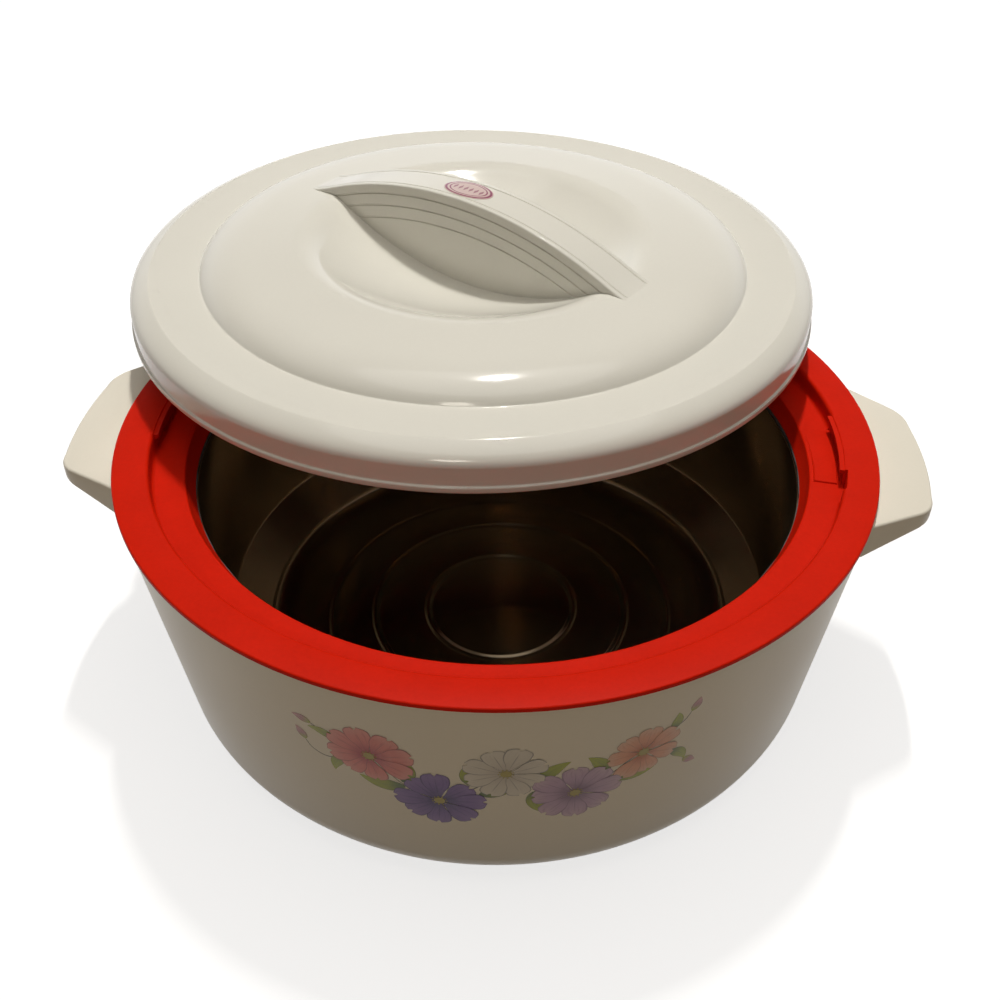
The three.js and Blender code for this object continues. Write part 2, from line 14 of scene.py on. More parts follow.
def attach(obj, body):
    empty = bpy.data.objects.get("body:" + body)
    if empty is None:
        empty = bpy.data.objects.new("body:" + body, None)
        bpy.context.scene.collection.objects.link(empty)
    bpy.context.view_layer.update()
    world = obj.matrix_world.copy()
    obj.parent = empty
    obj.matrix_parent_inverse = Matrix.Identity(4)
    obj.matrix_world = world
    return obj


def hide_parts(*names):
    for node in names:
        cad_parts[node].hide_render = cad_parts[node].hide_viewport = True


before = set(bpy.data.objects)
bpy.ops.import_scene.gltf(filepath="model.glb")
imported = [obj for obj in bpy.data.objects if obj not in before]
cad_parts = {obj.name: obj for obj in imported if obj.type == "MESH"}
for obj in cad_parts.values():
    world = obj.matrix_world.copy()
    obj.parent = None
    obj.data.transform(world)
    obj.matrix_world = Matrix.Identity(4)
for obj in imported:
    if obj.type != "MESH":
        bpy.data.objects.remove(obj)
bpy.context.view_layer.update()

bl_info = {
    "name": "Insulated Casserole",
    "version": (1, 0, 0),
    "blender": (4, 5, 0),
    "location": "3D View > Sidebar > Casserole",
    "description": "Builds the looks of an insulated casserole round its packed frame",
    "category": "Object",
}

MM = 0.001
ROUND_STEPS = 180
SHARP_ANGLE = math.radians(34)


def length(name, description, millimetres):
    return bpy.props.FloatProperty(
        name=name, description=description, default=millimetres * MM, precision=4,
        unit="LENGTH", subtype="DISTANCE",
    )


def turn(name, description, degrees):
    return bpy.props.FloatProperty(
        name=name, description=description, default=math.radians(degrees),
        unit="ROTATION", subtype="ANGLE",
    )


def colour(name, description, red, green, blue):
    return bpy.props.FloatVectorProperty(
        name=name, description=description, default=(red, green, blue), size=3,
        min=0, max=1, subtype="COLOR",
    )


def share(name, description, value):
    return bpy.props.FloatProperty(
        name=name, description=description, default=value, min=0, max=1, subtype="FACTOR",
    )


class CasseroleSizes(bpy.types.PropertyGroup):
    """Sizes of the body, ring, bowl and handles."""

    fit_gap: length("Fit gap", "Clearance between pieces that seat on each other", 0.3)
    ring_radius: length("Ring radius", "Outer radius of the ring", 128)
    ring_height: length("Ring height", "Top face of the ring above the table", 97)
    ring_wall: length("Ring wall", "Thickness of the ring's walls", 2)
    rim_thickness: length("Rim thickness", "Height of the ring's outer edge", 1.5)
    rim_round: length("Rim rounding", "Rounding of the ring's outer edge", 0.6)
    step_round: length("Step rounding", "Rounding of the edge and foot of the step", 1.2)
    catch_round: length("Catch rounding", "The same beside a catch", 0.35)
    step_radius: length("Step radius", "Wall from the ring's top down to its ledge", 116.5)
    ledge_depth: length("Ledge depth", "Ledge below the ring's top", 6.5)
    mouth_radius: length("Mouth radius", "Inner edge of the ledge", 105.8)
    mouth_round: length("Mouth rounding", "Rounding of the mouth's edge", 0.7)
    mouth_taper: length("Mouth taper", "Loss of radius down the mouth's wall", 2.4)
    mouth_depth: length("Mouth depth", "Foot of the mouth's wall below the ledge", 5.5)
    skirt_depth: length("Skirt depth", "Skirt inside the shell", 3.2)
    skirt_wall: length("Skirt wall", "Thickness of the skirt", 1.6)
    catch_reach: length("Catch reach", "How far each catch stands out over the ledge", 1.6)
    catch_drop: length("Catch drop", "Top of each catch below the ring's top", 0.4)
    catch_thickness: length("Catch thickness", "Thickness of each catch", 1.2)
    catch_start: turn("Catch start", "Where each catch starts, from the handle's middle", -8)
    catch_end: turn("Catch end", "Where each catch ends, from the handle's middle", 7.7)
    notch_angle: turn("Notch width", "Width of the entry notch beside each catch", 5)
    notch_reach: length("Notch reach", "How far the notch cuts into the step wall", 0.9)
    pad_height: length("Ramp height", "Ramp on the ledge under each catch", 0.5)
    pad_gap: length("Ramp gap", "Gap between the ramp and the step wall", 1.2)
    shell_top_radius: length("Shell top radius", "Upper end of the shell", 127.3)
    shell_taper: length("Shell taper", "Loss of radius from the ring to the table", 11.4)
    shell_wall: length("Shell wall", "Thickness of the shell", 2.5)
    base_round: length("Base rounding", "Rounding between wall and base", 18)
    fill_hole_radius: length("Fill hole radius", "Hole in the base for the plug", 6)
    plug_head_radius: length("Plug head radius", "Recess round the plug's head", 8)
    plug_head_depth: length("Plug head depth", "Depth of that recess", 0.8)
    plug_offset: length("Plug offset", "Plug behind the middle of the base", 40)
    steel_thickness: length("Steel thickness", "Sheet of the bowl and the lid's plate", 0.8)
    bowl_top_radius: length("Bowl top radius", "Bowl wall at its flange", 102.9)
    bowl_taper: length("Bowl taper", "Loss of radius down the bowl's wall", 3.9)
    flange_width: length("Flange width", "Bowl's flange under the ring", 6)
    flange_depth: length("Flange depth", "Bowl's flange below the ring's top", 13.6)
    wall_depth: length("Wall depth", "Lower end of the bowl's wall", 68.9)
    band_radius: length("Band radius", "Lower edge of the bowl's slanted band", 86.7)
    band_depth: length("Band depth", "That edge below the ring's top", 80.7)
    floor_depth: length("Floor depth", "Bowl's floor below the ring's top", 85.9)
    press_depth: length("Press depth", "Depth of the circles pressed in the floor", 0.8)
    press_width: length("Press width", "Half width of a pressed circle", 2)
    handle_tip: length("Handle tip", "Axis to the tip of a handle", 146.5)
    handle_bulge: length("Tip bulge", "How far the tip's middle stands out", 1.7)
    handle_corner_width: length("Tip half width", "Half width between the tip's corners", 27.3)
    handle_root_width: length("Root half width", "Half width at the root", 47.2)
    handle_root_sink: length("Root sink", "Where that width is measured, inside the shell", 15.3)
    handle_corner_round: length("Corner rounding", "Rounding of the tip's corners", 7)
    handle_edge_round: length("Handle edge", "Rounding of the handle's edges", 1.1)
    handle_drop: length("Handle drop", "Handle's top below the ring's top", 3.9)
    handle_slope: turn("Handle slope", "Slope of the handle's top", 7.5)
    handle_root_thickness: length("Root thickness", "Handle's thickness at the shell", 10.2)
    handle_tip_thickness: length("Tip thickness", "Handle's thickness at its tip", 4.8)
    handle_wall: length("Handle wall", "Wall round the grip recess", 2.4)
    handle_root_wall: length("Root wall", "Shell to grip recess", 2.7)
    bowl_round: length("Bowl rounding", "Rounding of the bends in the bowl's wall", 2.5)
    flange_round: length("Flange rounding", "Rounding of the bend into the bowl's flange", 0.2)
    print_lift: length("Print lift", "Print's ink above the shell", 0.05)
    print_scale: share("Print scale", "Size of the print against its drawing", 0.88)


class LidSizes(bpy.types.PropertyGroup):
    """Sizes of the lid, measured from the lower edge of its rim, and where it lies."""

    radius: length("Lid radius", "Outer radius at the bead", 125.5)
    wall: length("Lid wall", "Thickness of the cover", 2.4)
    bead_height: length("Bead height", "Height of the bead round the lower edge", 2.4)
    bead_reach: length("Bead reach", "How far the bead stands out", 0.7)
    rim_side: length("Rim side", "Top of the rim's upright side", 8.6)
    rim_pull: length("Rim pull", "Where that side would meet the rounding's upper end", 12.1)
    crease_reach: length("Crease reach", "Upright side in to the crease above the rounding", 7)
    crease_rise: length("Crease rise", "Height of that crease", 14.8)
    crease_round: length("Crease rounding", "Rounding of the crease and of the crown's foot", 1.6)
    foot_radius: length("Crown foot radius", "Valley between rim and crown", 100.2)
    foot_rise: length("Crown foot height", "Height of that valley", 14)
    crown_rise: length("Crown rise", "Height of the crown", 22.9)
    crown_fall: length("Crown fall", "Fall of the crown towards its shoulder", 1.6)
    shoulder_radius: length("Shoulder radius", "Where the crown's rounded shoulder starts", 82.6)
    shoulder_slope: turn("Shoulder slope", "Slope of the shoulder at the crown's foot", 59)
    dish_radius: length("Dish radius", "Edge of the dish in the crown", 61.5)
    dish_soft: length("Dish softness", "Reach of that edge's rounding to each side", 4.5)
    dish_floor: length("Dish floor", "Lowest point of the dish", 5.6)
    bar_half_length: length("Bar half length", "Grip bar from its middle to its far end", 69)
    bar_near_share: share("Near reach", "Reach of the bar's near end against its far end", 0.955)
    bar_half_width: length("Bar half width", "Half width of the grip bar", 8.4)
    bar_end_rise: length("Bar end rise", "Top of the bar at its ends", 23.3)
    bar_middle_rise: length("Bar middle rise", "Top of the bar at its middle", 38.6)
    bar_blend: length("Bar blend", "Where the bar's top starts to run out, before its end", 7)
    bar_run_out: length("Bar run-out", "Reach of that past where the arch would meet the crown", 2.5)
    bar_edge_round: length("Bar edge", "Rounding of the bar's upper edges", 0.7)
    groove_width: length("Groove width", "Width of a groove in the bar's side", 0.8)
    groove_depth: length("Groove depth", "Depth of a groove in the bar's side", 0.5)
    line_offset: length("Line offset", "Fine line from the middle of the bar's top", 6.3)
    line_width: length("Line width", "Width of a fine line", 0.8)
    line_depth: length("Line depth", "Depth of a fine line", 0.45)
    badge_shift: length("Badge shift", "Badge from the middle of the bar, along it", -3.3)
    badge_half_length: length("Badge half length", "Half length of the oval badge", 10.4)
    badge_half_width: length("Badge half width", "Half width of the oval badge", 5.8)
    badge_proud: length("Badge height", "Badge above the bar's top", 0.28)
    badge_sink: length("Badge sink", "Badge's edge below the bar's top", 0.3)
    liner_wall: length("Liner wall", "Thickness of the lid's liner", 2)
    liner_recess: length("Liner recess", "Liner's flange above the rim's lower edge", 0.5)
    flange_radius: length("Liner flange radius", "Outer radius of the liner's flange", 122.1)
    plug_radius: length("Wide plug radius", "Part of the liner that enters the ring", 114.3)
    plug_step: length("Wide plug depth", "Depth of that part", 6.2)
    narrow_radius: length("Narrow plug radius", "Part of the liner that enters the bowl", 102)
    plug_depth: length("Narrow plug depth", "Depth of that part", 14.2)
    plate_seat: length("Plate seat", "Width of the lip that carries the plate", 4)
    plate_press: length("Plate press", "Rise of the plate's middle", 1.2)
    plate_press_width: length("Plate border", "Flat border round that rise", 18)
    lug_half_angle: turn("Lug half angle", "Half the width of a lug", 4)
    lug_reach: length("Lug reach", "How far a lug stands out", 1.7)
    lug_low: length("Lug foot", "Lower face of a lug below the rim's edge", 5.5)
    lug_high: length("Lug top", "Upper face of a lug below the rim's edge", 2.1)
    shift_x: length("Lid shift X", "Lid's axis from the body's axis, along X", -14.5)
    shift_y: length("Lid shift Y", "Lid's axis from the body's axis, along Y", 67.8)
    height: length("Lid height", "Rim's lower edge above the table", 111.5)
    turned: turn("Lid turn", "Grip bar's turn from the line of the handles", -32.3)


class CasseroleColours(bpy.types.PropertyGroup):
    """Colours of the finishes."""

    body_white: colour("Body white", "Plastic of the shell and handles", 0.78, 0.74, 0.64)
    lid_white: colour("Lid white", "Plastic of the lid", 0.715, 0.7, 0.635)
    ring_red: colour("Ring red", "Plastic of the ring", 0.58, 0.012, 0.002)
    bowl_steel: colour("Bowl steel", "Polished sheet of the bowl", 0.36, 0.29, 0.2)
    screw_steel: colour("Screw steel", "Screws of the handles", 0.42, 0.42, 0.41)
    foam: colour("Foam", "Rigid foam filling", 0.77, 0.67, 0.39)
    seal: colour("Seal", "Rubber seal", 0.06, 0.06, 0.06)
    badge_ground: colour("Badge ground", "Ground of the oval badge", 0.66, 0.5, 0.47)
    badge_line: colour("Badge line", "Border and ornament of the badge", 0.24, 0.04, 0.1)
    leaf: colour("Leaf green", "Leaves of the print", 0.3, 0.33, 0.015)
    leaf_dark: colour("Leaf shade", "Shaded side of the leaves", 0.07, 0.1, 0.012)
    stem: colour("Stem", "Stems and fine lines of the print", 0.09, 0.075, 0.05)
    heart: colour("Blossom heart", "Middle of the blossoms", 0.42, 0.34, 0.04)
    floor: colour("Floor", "Pale floor", 0.42, 0.42, 0.42)
    floor_bounce: colour("Floor bounce", "Floor as it lights the casserole from below", 0.25, 0.19, 0.12)
    room: colour("Room", "Soft light from all round", 0.06, 0.045, 0.03)


# Shares of the bowl band's radius at which circles are pressed in its floor.
PRESSED_CIRCLE_SHARES = (0.325, 0.558, 0.745)
FLOOR_RADIUS_SHARE = 0.84
# Depths of the three grooves in each side of the grip bar, below its top.
GROOVE_DEPTHS = (3.6 * MM, 8.1 * MM, 12.8 * MM)
# More than the bar's side is high anywhere: the side ends inside the cover's wall.
BAR_SIDE_DEPTH = 60 * MM
# Roundings of hidden and very small edges.
FINE_ROUND = 0.5 * MM
PLATE_ROUND = 1.5 * MM


# Outlines: lists of (radius, height), closed when they are turned.

def arc(centre, radii, start, end, steps):
    angles = np.linspace(start, end, steps + 1)
    return [(centre[0] + radii[0] * math.cos(a), centre[1] + radii[1] * math.sin(a)) for a in angles]


def offset_line(points, distance):
    """Moves each point of an open line to the right of its course."""
    line = np.array(points, float)
    along = np.diff(line, axis=0)
    along /= np.linalg.norm(along, axis=1)[:, None]
    sides = np.stack([along[:, 1], -along[:, 0]], axis=1)
    moved = []
    for i, place in enumerate(line):
        before = sides[max(i - 1, 0)]
        after = sides[min(i, len(sides) - 1)]
        mitre = (before + after) * distance / (1 + before @ after)
        radius, height = place + mitre
        moved.append((0.0 if place[0] == 0 else radius, height))
    return moved


def softened(points, radius, steps=5, closed=True, least_turn=math.radians(25)):
    """Replaces each sharp corner off the axis with a short curve."""
    line = [np.array(p, float) for p in points]
    count = len(line)
    result = []
    for i, corner in enumerate(line):
        on_end = not closed and i in (0, count - 1)
        before, after = line[i - 1] - corner, line[(i + 1) % count] - corner
        reach_before, reach_after = np.linalg.norm(before), np.linalg.norm(after)
        if on_end or corner[0] == 0 or reach_before == 0 or reach_after == 0:
            result.append(tuple(corner))
            continue
        turned_by = math.pi - math.acos(np.clip(before @ after / reach_before / reach_after, -1, 1))
        if turned_by < least_turn:
            result.append(tuple(corner))
            continue
        cut = min(radius * math.tan(turned_by / 2), 0.45 * reach_before, 0.45 * reach_after)
        start = corner + before / reach_before * cut
        end = corner + after / reach_after * cut
        for t in np.linspace(0, 1, steps + 1):
            result.append(tuple((1 - t) ** 2 * start + 2 * t * (1 - t) * corner + t ** 2 * end))
    return result


def signed_area(outline):
    x, y = np.array(outline, float).T
    return 0.5 * float(np.sum(x * np.roll(y, -1) - np.roll(x, -1) * y))


# Meshes

def smooth(mesh):
    mesh.polygons.foreach_set("use_smooth", [True] * len(mesh.polygons))
    mesh.set_sharp_from_angle(angle=SHARP_ANGLE)
    mesh.update()


def built(build, mesh):
    """Writes a finished build into a mesh."""
    build.to_mesh(mesh)
    build.free()
    return mesh


def merged(mesh, distance=1e-7):
    build = bmesh.new()
    build.from_mesh(mesh)
    bmesh.ops.remove_doubles(build, verts=build.verts, dist=distance)
    bmesh.ops.dissolve_degenerate(build, edges=build.edges, dist=distance)
    return built(build, mesh)


def turned_mesh(name, outline_at, angles):
    """Closed mesh whose outline at each angle about Z comes from outline_at, always with as many points."""
    outlines = [outline_at(a) for a in angles]
    if signed_area(outlines[0]) < 0:
        outlines = [outline[::-1] for outline in outlines]
    vertices, rows, axis = [], [], {}
    for angle, outline in zip(angles, outlines):
        row = []
        for j, (radius, height) in enumerate(outline):
            if radius == 0 and j in axis:
                row.append(axis[j])
                continue
            if radius == 0:
                axis[j] = len(vertices)
            row.append(len(vertices))
            vertices.append((radius * math.cos(angle), radius * math.sin(angle), height))
        rows.append(row)
    faces = []
    count = len(outlines[0])
    for i, row in enumerate(rows):
        ahead = rows[(i + 1) % len(rows)]
        for j in range(count):
            k = (j + 1) % count
            corners = [row[j], ahead[j], ahead[k], row[k]]
            unique = [c for n, c in enumerate(corners) if c not in corners[:n]]
            if len(unique) > 2:
                faces.append(unique)
    mesh = bpy.data.meshes.new(name)
    mesh.from_pydata(vertices, [], faces)
    smooth(merged(mesh))
    return mesh


def even_angles(count=ROUND_STEPS):
    return [2 * math.pi * i / count for i in range(count)]


def angles_with(edges, count=ROUND_STEPS, slip=math.radians(0.02)):
    """Even angles with a close pair at each edge, where an outline changes."""
    found = set(even_angles(count))
    for edge in edges:
        around = edge % (2 * math.pi)
        found = {a for a in found if abs(a - around) > 3 * slip}
        found |= {around - slip, around + slip}
    return sorted(a % (2 * math.pi) for a in found)


def turned(name, outline):
    return turned_mesh(name, lambda angle: outline, even_angles())


def within(angle, start, end):
    """True where an angle lies between two angles, at either handle."""
    half = math.pi
    return (angle - start) % half < (end - start)


def joined(name, meshes):
    build = bmesh.new()
    for mesh in meshes:
        build.from_mesh(mesh)
    result = built(build, bpy.data.meshes.new(name))
    smooth(result)
    return result


def evaluated(obj, name):
    """Plain mesh of an object with its modifiers, after which the object is gone."""
    depsgraph = bpy.context.evaluated_depsgraph_get()
    depsgraph.update()
    result = bpy.data.meshes.new_from_object(obj.evaluated_get(depsgraph))
    result.name = name
    bpy.data.objects.remove(obj)
    return result


def loose_object(name, data):
    obj = bpy.data.objects.new(name, data)
    bpy.context.scene.collection.objects.link(obj)
    return obj


def piece(name, mesh, body, materials, replaced=()):
    """Adds a finished mesh as a piece that moves with a body."""
    obj = loose_object(name, mesh)
    if materials:
        obj.data.materials.clear()
        for material in materials:
            obj.data.materials.append(material)
    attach(obj, body)
    if replaced:
        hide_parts(*replaced)
    return obj


def dress(node, material):
    """Gives a CAD node that stays its finish."""
    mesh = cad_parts[node].data
    mesh.materials.clear()
    mesh.materials.append(material)


# Node tools

class Nodes:
    """Short ways to add and link nodes in one tree."""

    def __init__(self, tree):
        self.tree = tree

    def node(self, kind, inputs=None, **settings):
        made = self.tree.nodes.new(kind)
        for key, value in settings.items():
            setattr(made, key, value)
        for key, value in (inputs or {}).items():
            self.put(made.inputs[key], value)
        return made

    def first(self, kind, inputs=None, **settings):
        return self.node(kind, inputs, **settings).outputs[0]

    def put(self, socket, value):
        if isinstance(value, bpy.types.NodeSocket):
            self.tree.links.new(value, socket)
        else:
            socket.default_value = value

    def maths(self, operation, *values, clamp=False):
        made = self.node("ShaderNodeMath", operation=operation, use_clamp=clamp)
        for socket, value in zip(made.inputs, values):
            self.put(socket, value)
        return made.outputs[0]

    def plus(self, first, second, clamp=False):
        return self.maths("ADD", first, second, clamp=clamp)

    def times(self, first, second):
        return self.maths("MULTIPLY", first, second)

    def size_of(self, value, power=1.0):
        """Value without its sign, to a power."""
        value = self.maths("ABSOLUTE", value)
        return value if power == 1 else self.maths("POWER", value, power)

    def swing(self, value, reach):
        """How far a value lies from a half, times a reach."""
        return self.times(self.maths("SUBTRACT", value, 0.5), reach)

    def any_of(self, *values):
        most = values[0]
        for value in values[1:]:
            most = self.maths("MAXIMUM", most, value)
        return most

    def mix(self, factor, first, second):
        made = self.node("ShaderNodeMix", data_type="RGBA", clamp_factor=True)
        self.put(made.inputs["Factor"], factor)
        self.put(made.inputs[6], first)
        self.put(made.inputs[7], second)
        return made.outputs[2]

    def between(self, value, low, high, out_low=0.0, out_high=1.0):
        return self.first("ShaderNodeMapRange", {
            "Value": value, "From Min": low, "From Max": high, "To Min": out_low, "To Max": out_high,
        }, interpolation_type="SMOOTHSTEP")

    def noise(self, vector, scale, detail=2.0, roughness=0.5):
        return self.node("ShaderNodeTexNoise", {
            "Vector": vector, "Scale": scale, "Detail": detail, "Roughness": roughness,
        }).outputs["Fac"]

    def shaded(self, colour, value):
        """Colour made lighter or darker by a value about 1."""
        return self.first("ShaderNodeHueSaturation", {"Color": colour, "Value": value})

    def parts(self, vector):
        return self.node("ShaderNodeSeparateXYZ", {"Vector": vector}).outputs

    def vector(self, **parts):
        return self.first("ShaderNodeCombineXYZ", {key.upper(): value for key, value in parts.items()})

    def place(self):
        return self.node("ShaderNodeTexCoord").outputs["Object"]

    def named(self, attribute):
        return self.node("ShaderNodeAttribute", attribute_name=attribute).outputs["Fac"]

    def all_of(self, *geometries):
        made = self.node("GeometryNodeJoinGeometry")
        for geometry in geometries:
            self.put(made.inputs[0], geometry)
        return made.outputs[0]

    def grouped(self, tree, **values):
        made = self.node("ShaderNodeGroup", node_tree=tree)
        for key, value in values.items():
            self.put(made.inputs[key.replace("_", " ").title()], value)
        return made.outputs


def opaque(rgb, strength=1.0):
    return (*(strength * value for value in rgb), 1.0)


SOCKET_KINDS = {"value": "NodeSocketFloat", "colour": "NodeSocketColor"}


def effect(name, inputs, outputs, build):
    """Shader node group with named sockets, built once and shared by the finishes."""
    found = bpy.data.node_groups.get(name)
    if found:
        return found
    tree = bpy.data.node_groups.new(name, "ShaderNodeTree")
    for socket_name, kind, default in inputs:
        socket = tree.interface.new_socket(socket_name, in_out="INPUT", socket_type=SOCKET_KINDS[kind])
        socket.default_value = default
    for socket_name, kind in outputs:
        tree.interface.new_socket(socket_name, in_out="OUTPUT", socket_type=SOCKET_KINDS[kind])
    nodes = Nodes(tree)
    given = nodes.node("NodeGroupInput").outputs
    result = nodes.node("NodeGroupOutput").inputs
    for socket_name, value in build(nodes, given).items():
        nodes.put(result[socket_name], value)
    return tree


def moulded_effect():
    """Moulded plastic: faint clouding of colour and gloss, fine dust specks and a slight ripple."""
    def build(nodes, given):
        place = nodes.place()
        cloud = nodes.noise(place, given["Cloud Scale"], 3.0, 0.55)
        fine = nodes.noise(place, 900.0, 2.0, 0.6)
        ripple = nodes.noise(place, 55.0, 1.0, 0.4)
        mottling = nodes.plus(nodes.swing(cloud, given["Clouding"]), nodes.swing(fine, given["Grain"]))
        return {
            "Colour": nodes.shaded(given["Colour"], nodes.plus(1.0, mottling)),
            "Roughness": nodes.plus(given["Roughness"], nodes.swing(cloud, 0.1), clamp=True),
            "Height": nodes.plus(nodes.times(ripple, 0.8), nodes.times(fine, 0.2)),
        }

    return effect(
        "Moulded Plastic",
        [("Colour", "colour", opaque((0.7, 0.7, 0.7))), ("Cloud Scale", "value", 18.0),
         ("Clouding", "value", 0.06), ("Grain", "value", 0.03), ("Roughness", "value", 0.25)],
        [("Colour", "colour"), ("Roughness", "value"), ("Height", "value")],
        build,
    )


def polished_effect():
    """Spun and polished sheet: fine rings about the axis, smears and stains."""
    def build(nodes, given):
        place = nodes.place()
        parts = nodes.parts(place)
        squares = [
            nodes.size_of(nodes.maths("SUBTRACT", part, given[axis]), 2.0)
            for part, axis in zip(parts, ("Axis X", "Axis Y"))
        ]
        radius = nodes.maths("SQRT", nodes.plus(*squares))
        rings = nodes.noise(nodes.vector(x=radius, y=parts[2]), given["Ring Scale"], 2.0, 0.7)
        smear = nodes.noise(place, 28.0, 4.0, 0.6)
        rough = nodes.plus(nodes.times(nodes.between(smear, 0.35, 0.75), 0.06), nodes.times(rings, 0.05))
        return {
            "Colour": nodes.shaded(given["Colour"], nodes.plus(1.0, nodes.swing(smear, given["Staining"]))),
            "Roughness": nodes.plus(given["Roughness"], rough, clamp=True),
            "Height": rings,
        }

    return effect(
        "Polished Sheet",
        [("Colour", "colour", opaque((0.5, 0.5, 0.5))), ("Axis X", "value", 0.0), ("Axis Y", "value", 0.0),
         ("Ring Scale", "value", 700.0), ("Staining", "value", 0.2), ("Roughness", "value", 0.1)],
        [("Colour", "colour"), ("Roughness", "value"), ("Height", "value")],
        build,
    )


def painted_effect():
    """Hand-tinted petal or leaf: tones from root to tip, streaks along it and a drawn edge."""
    def build(nodes, given):
        along, across = nodes.named("print_along"), nodes.named("print_across")
        where = nodes.vector(x=nodes.times(along, 0.35), y=across, z=given["Variant"])
        streaks = nodes.noise(where, 5.0, 4.0, 0.65)
        wash = nodes.noise(nodes.place(), 160.0, 3.0, 0.6)
        tone = nodes.mix(nodes.between(along, 0.05, 0.55), given["Root"], given["Middle"])
        tone = nodes.mix(nodes.between(along, 0.5, 1.0), tone, given["Tip"])
        tone = nodes.mix(nodes.between(streaks, 0.5, 0.72, 0.0, 0.6), tone, given["Streak"])
        tone = nodes.mix(nodes.between(wash, 0.55, 0.8, 0.0, 0.45), tone, given["Tip"])
        side = nodes.size_of(across)
        edge = nodes.between(side, 0.86, 0.98, 0.0, given["Edge Strength"])
        rib = nodes.between(side, 0.0, 0.07, given["Edge Strength"], 0.0)
        rib = nodes.times(rib, nodes.between(along, 0.95, 0.5, 0.0, 0.8))
        return {"Colour": nodes.mix(nodes.any_of(edge, rib), tone, given["Ink"])}

    white = opaque((0.8, 0.8, 0.8))
    return effect(
        "Tinted Print",
        [("Root", "colour", white), ("Middle", "colour", white), ("Tip", "colour", white),
         ("Streak", "colour", white), ("Ink", "colour", opaque((0.1, 0.1, 0.1))),
         ("Edge Strength", "value", 0.5), ("Variant", "value", 0.0)],
        [("Colour", "colour")],
        build,
    )


def new_material(name):
    material = bpy.data.materials.new(name)
    material.use_nodes = True
    return material, Nodes(material.node_tree), material.node_tree.nodes["Principled BSDF"].inputs


def relief(nodes, height, strength):
    """Normals of a fine unevenness, a millimetre high at full strength."""
    return nodes.first("ShaderNodeBump", {"Height": height, "Strength": strength, "Distance": MM})


def plastic(name, rgb, roughness, cloud_scale=18.0, clouding=0.06, grain=0.03, bump=0.02, specular=0.5):
    material, nodes, surface = new_material(name)
    look = nodes.grouped(
        moulded_effect(), colour=opaque(rgb), cloud_scale=cloud_scale,
        clouding=clouding, grain=grain, roughness=roughness,
    )
    nodes.put(surface["Base Color"], look["Colour"])
    nodes.put(surface["Roughness"], look["Roughness"])
    nodes.put(surface["Specular IOR Level"], specular)
    nodes.put(surface["Normal"], relief(nodes, look["Height"], bump))
    return material


def sheet_metal(name, rgb, roughness, axis=(0.0, 0.0), bump=0.03, metallic=1.0, spun=0.5):
    material, nodes, surface = new_material(name)
    look = nodes.grouped(
        polished_effect(), colour=opaque(rgb), axis_x=axis[0], axis_y=axis[1], roughness=roughness,
    )
    nodes.put(surface["Base Color"], look["Colour"])
    nodes.put(surface["Roughness"], look["Roughness"])
    nodes.put(surface["Metallic"], metallic)
    nodes.put(surface["Anisotropic"], spun)
    nodes.put(surface["Anisotropic Rotation"], 0.25)
    nodes.put(surface["Tangent"], nodes.first("ShaderNodeTangent", direction_type="RADIAL", axis="Z"))
    nodes.put(surface["Normal"], relief(nodes, look["Height"], bump))
    return material


def cut_foam(name, rgb):
    material, nodes, surface = new_material(name)
    place = nodes.place()
    cells = nodes.node("ShaderNodeTexVoronoi", {"Vector": place, "Scale": 700.0}).outputs["Distance"]
    cloud = nodes.noise(place, 30.0, 3.0)
    nodes.put(surface["Base Color"], nodes.mix(cloud, opaque(rgb), opaque(rgb, 0.72)))
    nodes.put(surface["Roughness"], nodes.between(cells, 0.0, 0.6, 0.85, 1.0))
    nodes.put(surface["Normal"], relief(nodes, cells, 0.5))
    return material


def tinted_print(name, root, middle, tip, streak, ink, edge_strength, variant):
    material, nodes, surface = new_material(name)
    look = nodes.grouped(
        painted_effect(), root=opaque(root), middle=opaque(middle), tip=opaque(tip),
        streak=opaque(streak), ink=opaque(ink), edge_strength=edge_strength, variant=variant,
    )
    nodes.put(surface["Base Color"], look["Colour"])
    nodes.put(surface["Roughness"], 0.3)
    nodes.put(surface["Specular IOR Level"], 0.16)
    return material


def kept(name, make):
    """The finish of that name, made at its first use."""
    return bpy.data.materials.get(name) or make(name)


def body_plastic(colours):
    return kept("Body Plastic", lambda name: plastic(
        name, colours.body_white, 0.3, bump=0.015, specular=0.09,
    ))


def lid_plastic(colours):
    return kept("Lid Plastic", lambda name: plastic(name, colours.lid_white, 0.1, bump=0.012, specular=0.4))


def bowl_metal(colours):
    return kept("Bowl Steel", lambda name: sheet_metal(
        name, colours.bowl_steel, 0.14, bump=0.0, metallic=0.96, spun=0.9,
    ))


def foam_filling(colours):
    return kept("Foam Filling", lambda name: cut_foam(name, colours.foam))


# Body

def shell_lean(sizes):
    return math.atan2(sizes.shell_taper, sizes.ring_height - sizes.rim_thickness - sizes.fit_gap)


def shell_radius(sizes, height, inset=0.0):
    top = sizes.ring_height - sizes.rim_thickness - sizes.fit_gap
    lean = shell_lean(sizes)
    return sizes.shell_top_radius - math.tan(lean) * (top - height) - inset / math.cos(lean)


def shell_line(sizes, inset):
    lean = shell_lean(sizes)
    centre = shell_radius(sizes, sizes.base_round) - sizes.base_round / math.cos(lean)
    radius = sizes.base_round - inset
    top = sizes.ring_height - sizes.rim_thickness - sizes.fit_gap
    return [
        (0.0, inset),
        *arc((centre, sizes.base_round), (radius, radius), -math.pi / 2, -lean, 24),
        (shell_radius(sizes, top, inset), top),
    ]


